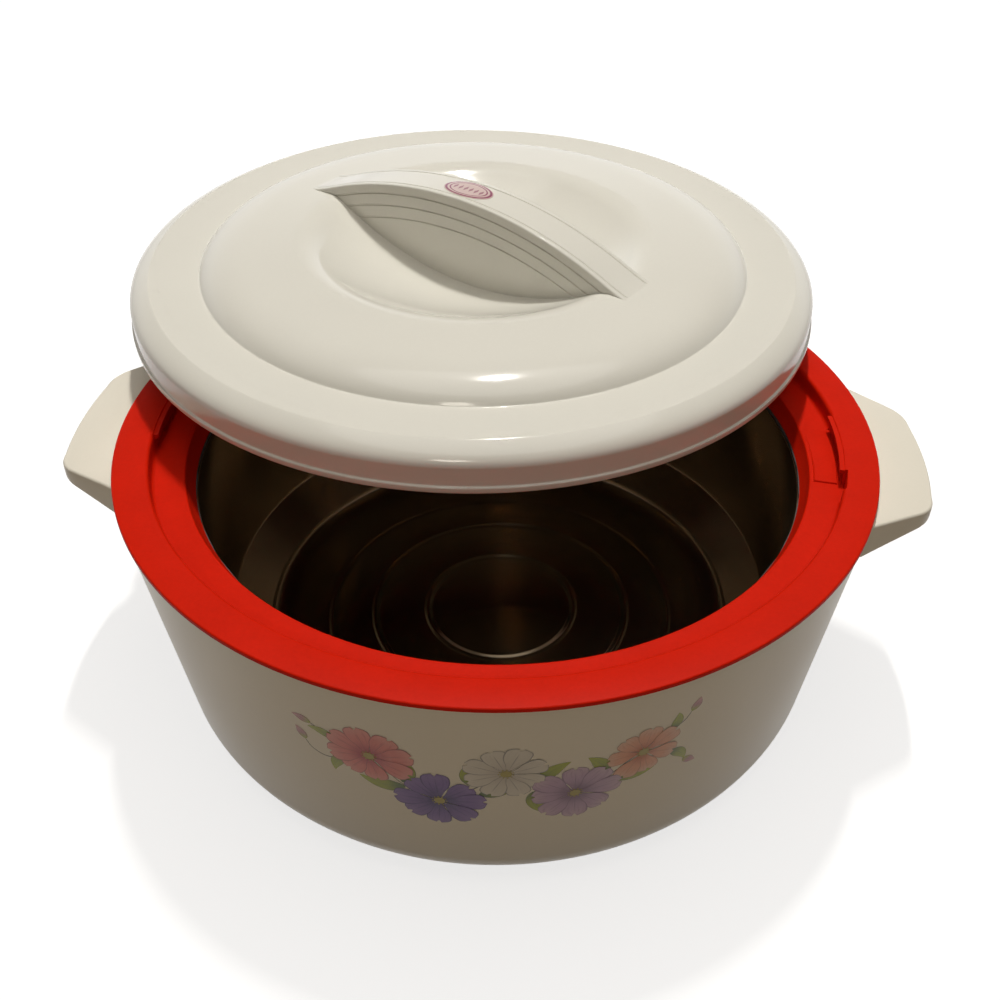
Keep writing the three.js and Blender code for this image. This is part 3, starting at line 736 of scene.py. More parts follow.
def shell_mesh(sizes):
    outline = shell_line(sizes, 0.0) + shell_line(sizes, sizes.shell_wall)[::-1]
    shell = loose_object("shell_blank", turned("shell_blank", outline))
    overrun = 2 * MM
    head, shank = sizes.plug_head_radius, sizes.fill_hole_radius
    cutter = loose_object("fill_hole", turned_mesh("fill_hole", lambda angle: [
        (0.0, -overrun), (head, -overrun), (head, sizes.plug_head_depth),
        (shank, sizes.plug_head_depth), (shank, sizes.shell_wall + overrun),
        (0.0, sizes.shell_wall + overrun),
    ], even_angles(48)))
    cutter.data.transform(Matrix.Translation((0, sizes.plug_offset, 0)))
    cut = shell.modifiers.new("Fill hole", "BOOLEAN")
    cut.operation = "DIFFERENCE"
    cut.solver = "EXACT"
    cut.object = cutter
    mesh = evaluated(shell, "body_shell")
    bpy.data.objects.remove(cutter)
    smooth(mesh)
    return mesh


def ring_outline(sizes, angle):
    top = sizes.ring_height
    ledge = top - sizes.ledge_depth
    foot = ledge - sizes.mouth_depth
    wall = sizes.ring_wall
    skirt_foot = top - sizes.rim_thickness - sizes.skirt_depth
    skirt = shell_radius(sizes, skirt_foot, sizes.shell_wall) - sizes.fit_gap
    mouth_foot = sizes.mouth_radius - sizes.mouth_taper
    caught = within(angle, sizes.catch_start, sizes.catch_end)
    notched = within(angle, sizes.catch_start - sizes.notch_angle, sizes.catch_start)
    step = sizes.step_radius + (sizes.notch_reach if notched else 0)
    reach = sizes.catch_reach if caught else 0
    run = ((angle - sizes.catch_start) % math.pi) / (sizes.catch_end - sizes.catch_start)
    pad = sizes.pad_height * (1 - run) if caught else 0
    pad_start = sizes.mouth_radius + 2 * sizes.mouth_round
    pad_end = sizes.step_radius - sizes.pad_gap
    soft = sizes.catch_round if caught or notched else sizes.step_round
    lip_top = top - max(sizes.catch_drop, soft)
    lip_foot = lip_top - sizes.catch_thickness
    return [
        *arc((step + soft, top - soft), (soft, soft), math.pi, math.pi / 2, 4),
        *arc((sizes.ring_radius - sizes.rim_round, top - sizes.rim_round),
             (sizes.rim_round, sizes.rim_round), math.pi / 2, 0, 6),
        (sizes.ring_radius, top - sizes.rim_thickness),
        (skirt, top - sizes.rim_thickness),
        (skirt, skirt_foot),
        (skirt - sizes.skirt_wall, skirt_foot),
        (skirt - sizes.skirt_wall, top - wall),
        (sizes.step_radius + wall, top - wall),
        (sizes.step_radius + wall, ledge - wall),
        (sizes.mouth_radius + wall, ledge - wall),
        (mouth_foot + wall, foot),
        (mouth_foot, foot),
        *arc((sizes.mouth_radius + sizes.mouth_round, ledge - sizes.mouth_round),
             (sizes.mouth_round, sizes.mouth_round), math.pi, math.pi / 2, 6),
        (pad_start, ledge),
        (pad_start + pad, ledge + pad),
        (pad_end - pad, ledge + pad),
        (pad_end, ledge),
        *arc((step - soft, ledge + soft), (soft, soft), -math.pi / 2, 0, 4),
        (step, lip_foot),
        (step - reach, lip_foot),
        (step - reach, lip_top),
        (step, lip_top),
    ]


def ring_mesh(sizes):
    edges = [
        edge + half
        for edge in (sizes.catch_start - sizes.notch_angle, sizes.catch_start, sizes.catch_end)
        for half in (0, math.pi)
    ]
    return turned_mesh("ring", lambda angle: ring_outline(sizes, angle), angles_with(edges))


def bowl_line(sizes):
    floor = sizes.ring_height - sizes.floor_depth
    line = [(0.0, floor)]
    for part in PRESSED_CIRCLE_SHARES:
        middle = sizes.band_radius * part
        for across in np.linspace(-1, 1, 13):
            drop = sizes.press_depth * (0.5 + 0.5 * math.cos(math.pi * across))
            line.append((middle + across * sizes.press_width, floor - drop))
    floor_radius = sizes.band_radius * FLOOR_RADIUS_SHARE
    band_height = sizes.ring_height - sizes.band_depth
    line += arc((floor_radius, band_height), (sizes.band_radius - floor_radius, band_height - floor),
                -math.pi / 2, 0, 14)
    flange = sizes.ring_height - sizes.flange_depth
    wall = [
        line[-1],
        (sizes.bowl_top_radius - sizes.bowl_taper, sizes.ring_height - sizes.wall_depth),
        (sizes.bowl_top_radius, flange - sizes.flange_width),
    ]
    edge = [
        wall[-1],
        (sizes.bowl_top_radius, flange),
        (sizes.bowl_top_radius + sizes.flange_width, flange),
    ]
    wall = softened(wall, sizes.bowl_round, 8, closed=False, least_turn=math.radians(8))
    return line[:-1] + wall[:-1] + softened(edge, sizes.flange_round, 6, closed=False)


def bowl_mesh(sizes):
    inside = bowl_line(sizes)
    return turned("bowl", inside + offset_line(inside, sizes.steel_thickness)[::-1])


def handle_narrowing(sizes):
    """Length of a handle's side along the handle, and what the half width loses over it."""
    length_along = sizes.handle_tip - sizes.handle_bulge - sizes.shell_top_radius + sizes.handle_root_sink
    return length_along, sizes.handle_root_width - sizes.handle_corner_width


def handle_half_width(sizes, x, inset):
    along, narrowing = handle_narrowing(sizes)
    from_root = x - sizes.shell_top_radius + sizes.handle_root_sink
    return sizes.handle_root_width - (narrowing * from_root + inset * math.hypot(along, narrowing)) / along


def curve_points(start, middle, end, steps):
    return [
        tuple((1 - t) ** 2 * a + 2 * t * (1 - t) * b + t ** 2 * c for a, b, c in zip(start, middle, end))
        for t in np.linspace(0, 1, steps + 1)
    ]


def handle_outline(sizes, inset, start_x):
    """Plan of a handle from its near root corner round the tip to the far one."""
    corner_x = sizes.handle_tip - sizes.handle_bulge - inset
    corner_y = handle_half_width(sizes, corner_x, inset)
    reach = sizes.handle_corner_round - inset
    along, narrowing = handle_narrowing(sizes)
    back_x = corner_x - reach * along / math.hypot(along, narrowing)
    side = [
        (x, -handle_half_width(sizes, x, inset)) for x in np.linspace(start_x, back_x, 7)
    ]
    corner = curve_points(side[-1], (corner_x, -corner_y), (corner_x, reach - corner_y), 8)[1:]
    tip = curve_points((corner_x, reach - corner_y), (corner_x + 2 * sizes.handle_bulge, 0),
                       (corner_x, corner_y - reach), 14)[1:-1]
    half = side + corner
    return half + tip + [(x, -y) for x, y in half[::-1]]


def handle_top(sizes, x):
    fall = math.tan(sizes.handle_slope) * (x - sizes.shell_top_radius)
    return sizes.ring_height - sizes.handle_drop - fall


def handle_foot(sizes, x):
    part = (x - sizes.shell_top_radius) / (sizes.handle_tip - sizes.shell_top_radius)
    root, tip = sizes.handle_root_thickness, sizes.handle_tip_thickness
    return handle_top(sizes, x) - root - part * (tip - root)


def root_point(sizes, angle, height_at):
    """Point of a handle's root face, a gap off the shell, where a sloping face meets it."""
    radius = sizes.shell_top_radius
    for _ in range(6):
        height = height_at(sizes, radius * math.cos(angle))
        radius = shell_radius(sizes, height) + sizes.fit_gap / math.cos(shell_lean(sizes))
    return radius * math.cos(angle), radius * math.sin(angle), height


def root_corner_x(sizes, height_at):
    """Where the handle's side meets the shell at a face's height."""
    low, high = sizes.shell_top_radius - sizes.handle_root_sink, sizes.shell_top_radius
    for _ in range(40):
        x = (low + high) / 2
        reach = shell_radius(sizes, height_at(sizes, x)) + sizes.fit_gap / math.cos(shell_lean(sizes))
        if math.hypot(x, handle_half_width(sizes, x, 0.0)) < reach:
            low = x
        else:
            high = x
    return low


HANDLE_ROOT_STEPS = 18


def handle_outer_loop(sizes, height_at):
    """A handle's outline where its sides meet its top or its foot."""
    corner = root_corner_x(sizes, height_at)
    plan = handle_outline(sizes, 0.0, corner)
    end = math.atan2(plan[-1][1], plan[-1][0])
    angles = np.linspace(end, -end, HANDLE_ROOT_STEPS + 1)[1:-1]
    return [(x, y, height_at(sizes, x)) for x, y in plan] + [root_point(sizes, a, height_at) for a in angles]


def handle_recess_loop(sizes, height_at):
    """Outline of the grip recess at the handle's foot or at the recess's roof."""
    start = sizes.shell_top_radius + sizes.handle_root_wall
    plan = handle_outline(sizes, sizes.handle_wall, start)
    across = np.linspace(plan[-1][1], plan[0][1], HANDLE_ROOT_STEPS + 1)[1:-1]
    return [(x, y, height_at(sizes, x)) for x, y in plan + [(start, y) for y in across]]


def handle_roof(sizes, x):
    return handle_top(sizes, x) - sizes.handle_wall


def handle_mesh(name, sizes, half_turn):
    build = bmesh.new()
    loops = [handle_outer_loop(sizes, at) for at in (handle_top, handle_foot)]
    loops += [handle_recess_loop(sizes, at) for at in (handle_foot, handle_roof)]
    rings = [[build.verts.new(place) for place in loop] for loop in loops]
    count = len(rings[0])
    build.faces.new(rings[0])
    build.faces.new(rings[-1])
    for upper, lower in zip(rings, rings[1:]):
        for i in range(count):
            k = (i + 1) % count
            build.faces.new((upper[i], lower[i], lower[k], upper[k]))
    bmesh.ops.recalc_face_normals(build, faces=build.faces)
    obj = loose_object(name + "_blank", built(build, bpy.data.meshes.new(name)))
    soften = obj.modifiers.new("Edges", "BEVEL")
    soften.width = sizes.handle_edge_round
    soften.segments = 4
    soften.limit_method = "ANGLE"
    soften.angle_limit = math.radians(40)
    result = evaluated(obj, name)
    if half_turn:
        result.transform(Matrix.Rotation(math.pi, 4, "Z"))
    smooth(result)
    return result


# Lid

def lid_place(lid):
    return Matrix.Translation((lid.shift_x, lid.shift_y, lid.height)) @ Matrix.Rotation(lid.turned, 4, "Z")


def dish_curve(lid):
    depth = lid.crown_rise - lid.dish_floor
    return (lid.dish_radius ** 2 + depth ** 2) / (2 * depth)


def crown_slope(lid):
    return lid.crown_fall / (lid.shoulder_radius - lid.dish_radius)


def crown_height(lid, radius):
    """Height of the crown's flat between its dish and its shoulder."""
    return lid.crown_rise - crown_slope(lid) * (radius - lid.dish_radius)


def shoulder_line(lid):
    """Shoulder that bends from the crown's flat down to its foot."""
    start = (lid.shoulder_radius, crown_height(lid, lid.shoulder_radius))
    foot = (lid.foot_radius, lid.foot_rise)
    steep = math.tan(lid.shoulder_slope)
    drop = foot[1] + steep * foot[0] - start[1] - crown_slope(lid) * start[0]
    corner = drop / (steep - crown_slope(lid))
    return curve_points(start, (corner, crown_height(lid, corner)), foot, 16)


def cover_line(lid):
    """Line from the lid's axis over its dish, crown and shoulder to the rim's upright side."""
    curve, soft = dish_curve(lid), lid.dish_soft
    reach = math.asin((lid.dish_radius - soft) / curve)
    dish = arc((0.0, lid.dish_floor + curve), (curve, curve), -math.pi / 2, reach - math.pi / 2, 30)
    dish[0] = (0.0, lid.dish_floor)
    beyond = lid.dish_radius + soft
    edge = curve_points(
        dish[-1], (lid.dish_radius, lid.crown_rise), (beyond, crown_height(lid, beyond)), 14,
    )
    shoulder = shoulder_line(lid)
    side = lid.radius - lid.bead_reach
    crease = (side - lid.crease_reach, lid.crease_rise)
    rim = curve_points(crease, (side, lid.rim_pull), (side, lid.rim_side), 12)
    bends = softened([shoulder[-2], shoulder[-1], rim[0], rim[1]], lid.crease_round, 6, closed=False,
                     least_turn=math.radians(12))
    return dish + edge[1:] + shoulder[:-2] + bends + rim[2:]


def cover_mesh(lid):
    line = cover_line(lid)
    side = lid.radius - lid.bead_reach
    inside = offset_line(line, lid.wall)
    inside.append((side - lid.wall, 0.0))
    bead = softened([
        (side, lid.rim_side),
        (side, lid.bead_height),
        (lid.radius, lid.bead_height - lid.bead_reach / 2),
        (lid.radius, 0.0),
        (side - lid.wall, 0.0),
    ], FINE_ROUND, 4, closed=False)
    return turned("cover", line + bead[1:-1] + inside[::-1])


def bar_curve(lid):
    rise = lid.bar_middle_rise - lid.bar_end_rise
    return (lid.bar_half_length ** 2 + rise ** 2) / (2 * rise)


def bar_side(lid):
    """Half of the bar's section, from its side's foot up: distance from its middle, depth below its top."""
    half, cut, deep = lid.bar_half_width, lid.groove_width / 2, lid.groove_depth
    side = [(half, BAR_SIDE_DEPTH)]
    for depth in GROOVE_DEPTHS[::-1]:
        side += [(half, depth + cut), (half - deep, depth + 0.4 * cut),
                 (half - deep, depth - 0.4 * cut), (half, depth - cut)]
    soft = lid.bar_edge_round
    side += [(half - soft + soft * math.cos(a), soft - soft * math.sin(a))
             for a in np.linspace(0, math.pi / 2, 6)]
    line, width = lid.line_offset, lid.line_width / 2
    side += [(line + width, 0.0), (line, lid.line_depth), (line - width, 0.0)]
    return side


def bar_reach(lid, x):
    """How far along the bar a place is, as if the near end reached as far as the far one."""
    return x / lid.bar_near_share if x > 0 else -x


def arch_height(lid, x):
    curve = bar_curve(lid)
    return lid.bar_middle_rise - curve + math.sqrt(curve ** 2 - bar_reach(lid, x) ** 2)


def bar_run_out(lid):
    """Reach at which the arch leaves its curve, would meet the crown and has run out into it."""
    start = lid.bar_half_length - lid.bar_blend
    slope = -start / math.sqrt(bar_curve(lid) ** 2 - start ** 2)
    corner = start + (crown_height(lid, start) - arch_height(lid, -start)) / (slope + crown_slope(lid))
    return start, corner, corner + lid.bar_run_out


def bar_top(lid, x):
    """Height of the bar's top: an arch that runs out into the crown at both ends."""
    start, corner, end = bar_run_out(lid)
    reach = bar_reach(lid, x)
    if reach <= start:
        return arch_height(lid, x)
    t = np.roots([start - 2 * corner + end, 2 * (corner - start), start - reach])
    t = float(min((root.real for root in t if -1e-9 < root.real < 1 + 1e-9), default=1.0))
    heights = arch_height(lid, -start), crown_height(lid, corner), crown_height(lid, end)
    return (1 - t) ** 2 * heights[0] + 2 * t * (1 - t) * heights[1] + t ** 2 * heights[2]


def bar_foot_depth(lid, line, x, top, lean):
    """How deep the bar's side runs before it is inside the cover's wall."""
    radii, heights = line
    for depth in np.linspace(0.2 * MM, BAR_SIDE_DEPTH, 600):
        reach = math.hypot(x - depth * math.sin(lean), lid.bar_half_width)
        if top - depth * math.cos(lean) < np.interp(reach, radii, heights) - lid.wall / 2:
            return depth
    raise ValueError("the grip bar never reaches the dish")


def bar_mesh(lid):
    curve = bar_curve(lid)
    half_section = bar_side(lid)
    section = half_section + [(-across, depth) for across, depth in half_section[::-1]]
    line = np.array(cover_line(lid)).T
    vertices, faces = [], []
    end = bar_run_out(lid)[2]
    places = np.linspace(-end, end * lid.bar_near_share, 145)
    for x in places:
        lean, top = math.asin(x / curve), bar_top(lid, x)
        limit = bar_foot_depth(lid, line, x, top, lean)
        for across, depth in section:
            down = min(depth, limit)
            vertices.append((x - down * math.sin(lean), across, top - down * math.cos(lean)))
    count = len(section)
    for i in range(len(places) - 1):
        for j in range(count):
            k = (j + 1) % count
            a, b = i * count, (i + 1) * count
            faces.append((a + j, a + k, b + k, b + j))
    faces.append(tuple(range(count))[::-1])
    faces.append(tuple((len(places) - 1) * count + j for j in range(count)))
    mesh = bpy.data.meshes.new("grip_bar")
    mesh.from_pydata(vertices, [], faces)
    build = bmesh.new()
    build.from_mesh(merged(mesh))
    bmesh.ops.recalc_face_normals(build, faces=build.faces)
    return built(build, mesh)


def badge_mesh(lid):
    """Oval plate that follows the bar's arched top, with a map of its own for the border."""
    rings, around = 14, 72
    build = bmesh.new()
    layer = build.loops.layers.uv.new("oval")

    def vertex(part, turned_by, lift):
        x = lid.badge_shift + lid.badge_half_length * part * math.cos(turned_by)
        y = lid.badge_half_width * part * math.sin(turned_by)
        return build.verts.new((x, y, arch_height(lid, x) + lift))

    shares = list(np.linspace(0, 1, rings + 1)[1:])
    rows = [[vertex(0.0, 0.0, lid.badge_proud)]]
    for part in shares:
        lift = lid.badge_proud * (1 - 0.5 * part ** 12)
        rows.append([vertex(part, 2 * math.pi * i / around, lift) for i in range(around)])
    rows.append([vertex(1.0, 2 * math.pi * i / around, -lid.badge_sink) for i in range(around)])
    for i in range(around):
        k = (i + 1) % around
        build.faces.new((rows[0][0], rows[1][i], rows[1][k]))
        for inner, outer in zip(rows[1:], rows[2:]):
            build.faces.new((inner[i], outer[i], outer[k], inner[k]))
    build.faces.new(rows[-1][::-1])
    for face in build.faces:
        for loop in face.loops:
            place = loop.vert.co
            along = (place.x - lid.badge_shift) / lid.badge_half_length
            loop[layer].uv = (along, place.y / lid.badge_half_width)
    mesh = built(build, bpy.data.meshes.new("badge"))
    smooth(mesh)
    return mesh


def liner_outline(lid, angle):
    wall = lid.liner_wall
    reach = lid.lug_reach if within(angle, -lid.lug_half_angle, lid.lug_half_angle) else 0
    base = [
        (lid.flange_radius, lid.liner_recess),
        (lid.flange_radius, lid.liner_recess + wall),
        (lid.plug_radius - wall, lid.liner_recess + wall),
        (lid.plug_radius - wall, wall - lid.plug_step),
        (lid.narrow_radius - wall, wall - lid.plug_step),
        (lid.narrow_radius - wall, wall - lid.plug_depth),
        (lid.narrow_radius - wall - lid.plate_seat, wall - lid.plug_depth),
        (lid.narrow_radius - wall - lid.plate_seat, -lid.plug_depth),
        (lid.narrow_radius, -lid.plug_depth),
        (lid.narrow_radius, -lid.plug_step),
        (lid.plug_radius, -lid.plug_step),
    ]
    return softened(base, FINE_ROUND, 4)[:-1] + [
        (lid.plug_radius, -lid.lug_low),
        (lid.plug_radius + reach, -lid.lug_low),
        (lid.plug_radius + reach, -lid.lug_high),
        (lid.plug_radius, -lid.lug_high),
        (lid.plug_radius, lid.liner_recess),
    ]


def liner_mesh(lid):
    edges = [edge + half for edge in (-lid.lug_half_angle, lid.lug_half_angle) for half in (0, math.pi)]
    return turned_mesh("liner", lambda angle: liner_outline(lid, angle), angles_with(edges))


def plate_mesh(lid, sizes):
    radius = lid.narrow_radius - lid.liner_wall - sizes.fit_gap
    low = lid.liner_wall - lid.plug_depth + sizes.fit_gap + sizes.steel_thickness
    high = low + lid.plate_press
    top = softened([
        (0.0, high),
        (radius - lid.plate_press_width - lid.plate_press, high),
        (radius - lid.plate_press_width, low),
        (radius, low),
    ], PLATE_ROUND, 5, closed=False)
    return turned("inner_plate", top + offset_line(top, sizes.steel_thickness)[::-1])


# Print: drawn flat, in metres along and up the shell, then laid on its cone

PRINT_MIDDLE = (math.radians(-86), 57 * MM)
# Layers of the print, in lifts of its ink.
PRINT_LAYERS = {"print_stems": 0.8, "print_leaves": 1.0, "print_buds": 1.2, "blossoms": 1.6}
HEART_RADIUS = 1.9 * MM
PETAL_NOTCH = 0.1
PETAL_LIFT = 0.03 * MM
LEAF_TIP_WIDTH = 0.02 * MM
STEM_WIDTH = 0.5 * MM
STEM_SINK = 0.02 * MM
BUD_LENGTH = 7 * MM
BUD_WIDTH = 3.6 * MM
BUD_BEND = 0.2


def scaled(place):
    """A place of the print in metres, from millimetres."""
    return [value * MM for value in place]


def laid_on_shell(mesh, sizes, lift):
    """Bends a flat mesh, drawn about the print's middle, round the shell's cone."""
    lean = shell_lean(sizes)
    middle_angle, middle_height = PRINT_MIDDLE
    for vertex in mesh.vertices:
        across, up, rise = vertex.co
        across, up = across * sizes.print_scale, up * sizes.print_scale
        height = middle_height + up * math.cos(lean)
        angle = middle_angle + across / shell_radius(sizes, middle_height)
        radius = shell_radius(sizes, height) + (lift + rise) * math.cos(lean)
        height -= (lift + rise) * math.sin(lean)
        vertex.co = (radius * math.cos(angle), radius * math.sin(angle), height)
    mesh.update()
    return mesh


# Inputs of the blossom's node tree, with their kinds and first values.
BLOSSOM_INPUTS = (
    ("Petals", "Int", 8), ("Petal Length", "Float", 14 * MM), ("Petal Width", "Float", 8 * MM),
    ("Heart Radius", "Float", HEART_RADIUS), ("Notch", "Float", PETAL_NOTCH),
    ("Layer Lift", "Float", PETAL_LIFT), ("Seed", "Int", 1),
    ("Petal Finish", "Material", None), ("Heart Finish", "Material", None),
)
# Half width of a petal from its root to its tip, as shares of its length and of its width.
PETAL_OUTLINE_SHARES = ((0.0, 0.12), (1.0, 0.2), (0.25, 0.42), (0.6, 0.96), (0.8, 1.0), (0.94, 0.72))


def petal_shape(nodes, given):
    """Flat petal: a grid that keeps its places along and across, drawn out to the petal's outline."""
    petal = nodes.first("GeometryNodeMeshGrid", {
        "Size X": 1.0, "Size Y": 1.0, "Vertices X": 17, "Vertices Y": 9,
    })
    place = nodes.parts(nodes.first("GeometryNodeInputPosition"))
    kept_places = {"print_along": nodes.plus(place[0], 0.5), "print_across": nodes.times(place[1], 2.0)}
    for name, value in kept_places.items():
        petal = nodes.first("GeometryNodeStoreNamedAttribute", {
            "Geometry": petal, "Name": name, "Value": value,
        }, data_type="FLOAT", domain="POINT")
    along, across = (
        nodes.first("GeometryNodeInputNamedAttribute", {"Name": name}, data_type="FLOAT")
        for name in kept_places
    )
    outline = nodes.node("ShaderNodeFloatCurve", {"Value": along})
    points = outline.mapping.curves[0].points
    for number, share_pair in enumerate(PETAL_OUTLINE_SHARES):
        if number < 2:
            points[number].location = share_pair
        else:
            points.new(*share_pair)
    outline.mapping.update()
    half_width = nodes.times(nodes.times(given["Petal Width"], 0.5), outline.outputs[0])
    inward = nodes.maths("SUBTRACT", 1.0, nodes.size_of(across, 1.5))
    dent = nodes.times(nodes.maths("POWER", along, 7.0), nodes.times(inward, given["Notch"]))
    out = nodes.times(nodes.maths("SUBTRACT", along, dent), given["Petal Length"])
    shaped = nodes.vector(
        x=nodes.plus(out, nodes.times(given["Heart Radius"], 0.6)),
        y=nodes.times(half_width, across),
        z=nodes.times(nodes.plus(across, 1.2), given["Layer Lift"]),
    )
    return nodes.first("GeometryNodeSetPosition", {"Geometry": petal, "Position": shaped})


def random_value(nodes, low, high, seed):
    made = nodes.node("FunctionNodeRandomValue", {2: low, 3: high, "Seed": seed}, data_type="FLOAT")
    return made.outputs[1]


def petals_around(nodes, given, petal):
    """Petals turned about the heart, each a little off its even place and size."""
    spots = nodes.first("GeometryNodePoints", {"Count": given["Petals"]})
    step = nodes.maths("DIVIDE", 2 * math.pi, given["Petals"])
    even = nodes.times(nodes.first("GeometryNodeInputIndex"), step)
    petals = nodes.first("GeometryNodeInstanceOnPoints", {
        "Points": spots,
        "Instance": petal,
        "Rotation": nodes.vector(z=nodes.plus(even, random_value(nodes, -0.1, 0.1, given["Seed"]))),
        "Scale": random_value(nodes, 0.9, 1.06, given["Seed"]),
    })
    petals = nodes.first("GeometryNodeRealizeInstances", {"Geometry": petals})
    return nodes.first("GeometryNodeSetMaterial", {"Geometry": petals, "Material": given["Petal Finish"]})


def heart_disc(nodes, given):
    """The blossom's heart: a disc with a ring of small dots, above the petals."""
    radius = given["Heart Radius"]
    disc = nodes.first("GeometryNodeMeshCircle", {"Vertices": 20, "Radius": radius}, fill_type="NGON")
    ring = nodes.first("GeometryNodeMeshCircle", {"Vertices": 11, "Radius": nodes.times(radius, 1.25)})
    dot = nodes.first("GeometryNodeMeshCircle", {
        "Vertices": 8, "Radius": nodes.times(radius, 0.17),
    }, fill_type="NGON")
    dots = nodes.first("GeometryNodeInstanceOnPoints", {"Points": ring, "Instance": dot})
    heart = nodes.first("GeometryNodeRealizeInstances", {"Geometry": nodes.all_of(dots, disc)})
    lifted = nodes.vector(z=nodes.times(given["Layer Lift"], 3.0))
    heart = nodes.first("GeometryNodeSetPosition", {"Geometry": heart, "Offset": lifted})
    return nodes.first("GeometryNodeSetMaterial", {"Geometry": heart, "Material": given["Heart Finish"]})


def blossom_tree():
    """Geometry nodes for a flat blossom: petals turned about a heart, with a ring of small dots."""
    found = bpy.data.node_groups.get("Blossom")
    if found:
        return found
    tree = bpy.data.node_groups.new("Blossom", "GeometryNodeTree")
    for name, kind, default in BLOSSOM_INPUTS:
        socket = tree.interface.new_socket(name, in_out="INPUT", socket_type="NodeSocket" + kind)
        if default is not None:
            socket.default_value = default
    tree.interface.new_socket("Geometry", in_out="OUTPUT", socket_type="NodeSocketGeometry")
    nodes = Nodes(tree)
    given = nodes.node("NodeGroupInput").outputs
    petals = petals_around(nodes, given, petal_shape(nodes, given))
    nodes.node("NodeGroupOutput", {"Geometry": nodes.all_of(heart_disc(nodes, given), petals)})
    return tree


def set_input(modifier, name, value):
    for socket in modifier.node_group.interface.items_tree:
        if socket.item_type == "SOCKET" and socket.in_out == "INPUT" and socket.name == name:
            modifier[socket.identifier] = value
            return
    raise KeyError(f"the node tree has no input named {name}")


def blossom_mesh(name, values, place, heading):
    """Flat blossom at a place of the print, turned by a heading."""
    obj = loose_object(name + "_flat", bpy.data.meshes.new(name + "_flat"))
    growth = obj.modifiers.new("Blossom", "NODES")
    growth.node_group = blossom_tree()
    for key, value in values.items():
        set_input(growth, key, value)
    mesh = evaluated(obj, name)
    mesh.transform(Matrix.Translation((*place, 0)) @ Matrix.Rotation(heading, 4, "Z"))
    return mesh


def marked_mesh(name, vertices, faces, along, across):
    mesh = bpy.data.meshes.new(name)
    mesh.from_pydata(vertices, [], faces)
    mesh.attributes.new("print_along", "FLOAT", "POINT").data.foreach_set("value", along)
    mesh.attributes.new("print_across", "FLOAT", "POINT").data.foreach_set("value", across)
    return mesh


def strip_mesh(name, middle_line, half_widths, lift, columns=2):
    """Flat strip along a line of points, as wide at each point as asked."""
    line = np.array(middle_line, float)
    along = np.gradient(line, axis=0)
    along /= np.linalg.norm(along, axis=1)[:, None]
    side = np.stack([-along[:, 1], along[:, 0]], axis=1)
    spread = np.linspace(-1, 1, columns)
    vertices, shares, sides = [], [], []
    for i, (place, normal, half) in enumerate(zip(line, side, half_widths)):
        for part in spread:
            vertices.append((*(place + normal * half * part), lift))
            shares.append(i / (len(line) - 1))
            sides.append(part)
    faces = [
        (i * columns + j, (i + 1) * columns + j, (i + 1) * columns + j + 1, i * columns + j + 1)
        for i in range(len(line) - 1) for j in range(columns - 1)
    ]
    return marked_mesh(name, vertices, faces, shares, sides)


def leaf_mesh(name, root, heading, reach, width, bend):
    """Pointed leaf that curves to one side."""
    steps = np.linspace(0, 1, 15)
    headings = heading + bend * steps
    line = np.stack([
        root[0] + reach * steps * np.cos(headings), root[1] + reach * steps * np.sin(headings),
    ], axis=1)
    halves = [width / 2 * math.sin(math.pi * t ** 0.8) ** 0.9 + LEAF_TIP_WIDTH for t in steps]
    return strip_mesh(name, line, halves, 0.0, columns=7)


def stem_mesh(name, points, width):
    """Thin stem through a few points, along a smooth line."""
    places = [np.array(p, float) for p in points]
    line = []
    for before, start, end, after in zip(
        [places[0]] + places[:-2], places[:-1], places[1:], places[2:] + [places[-1]],
    ):
        for t in np.linspace(0, 1, 9)[:-1]:
            line.append(0.5 * (
                2 * start + (end - before) * t + (2 * before - 5 * start + 4 * end - after) * t ** 2
                + (3 * start - before - 3 * end + after) * t ** 3
            ))
    line.append(places[-1])
    halves = np.linspace(width / 2, width / 4, len(line))
    return strip_mesh(name, line, halves, -STEM_SINK)


# The spray of blossoms: name, millimetres along and up from the print's middle, petals, petal length
# and width, heading in degrees, colours of root, middle, tip and streaks, and how strongly it is inked.
BLOSSOMS = (
    ("coral", (-41, 11), 8, 13.5, 9.0, 10,
     (0.36, 0.05, 0.05), (0.62, 0.19, 0.15), (0.66, 0.27, 0.22), (0.4, 0.07, 0.08), 0.55),
    ("purple", (-19, -9), 8, 14.5, 9.4, 0,
     (0.05, 0.02, 0.1), (0.16, 0.09, 0.26), (0.22, 0.14, 0.33), (0.05, 0.02, 0.11), 0.7),
    ("line", (3, 9), 8, 13.0, 8.6, 20,
     (0.5, 0.45, 0.38), (0.6, 0.56, 0.48), (0.64, 0.6, 0.52), (0.52, 0.47, 0.42), 0.85),
    ("lilac", (26, -6), 8, 15.0, 9.6, 5,
     (0.2, 0.11, 0.17), (0.44, 0.3, 0.42), (0.52, 0.38, 0.47), (0.27, 0.16, 0.26), 0.5),
    ("peach", (48, 10), 7, 12.5, 8.8, 32,
     (0.45, 0.13, 0.04), (0.66, 0.31, 0.17), (0.68, 0.42, 0.29), (0.5, 0.17, 0.07), 0.45),
)
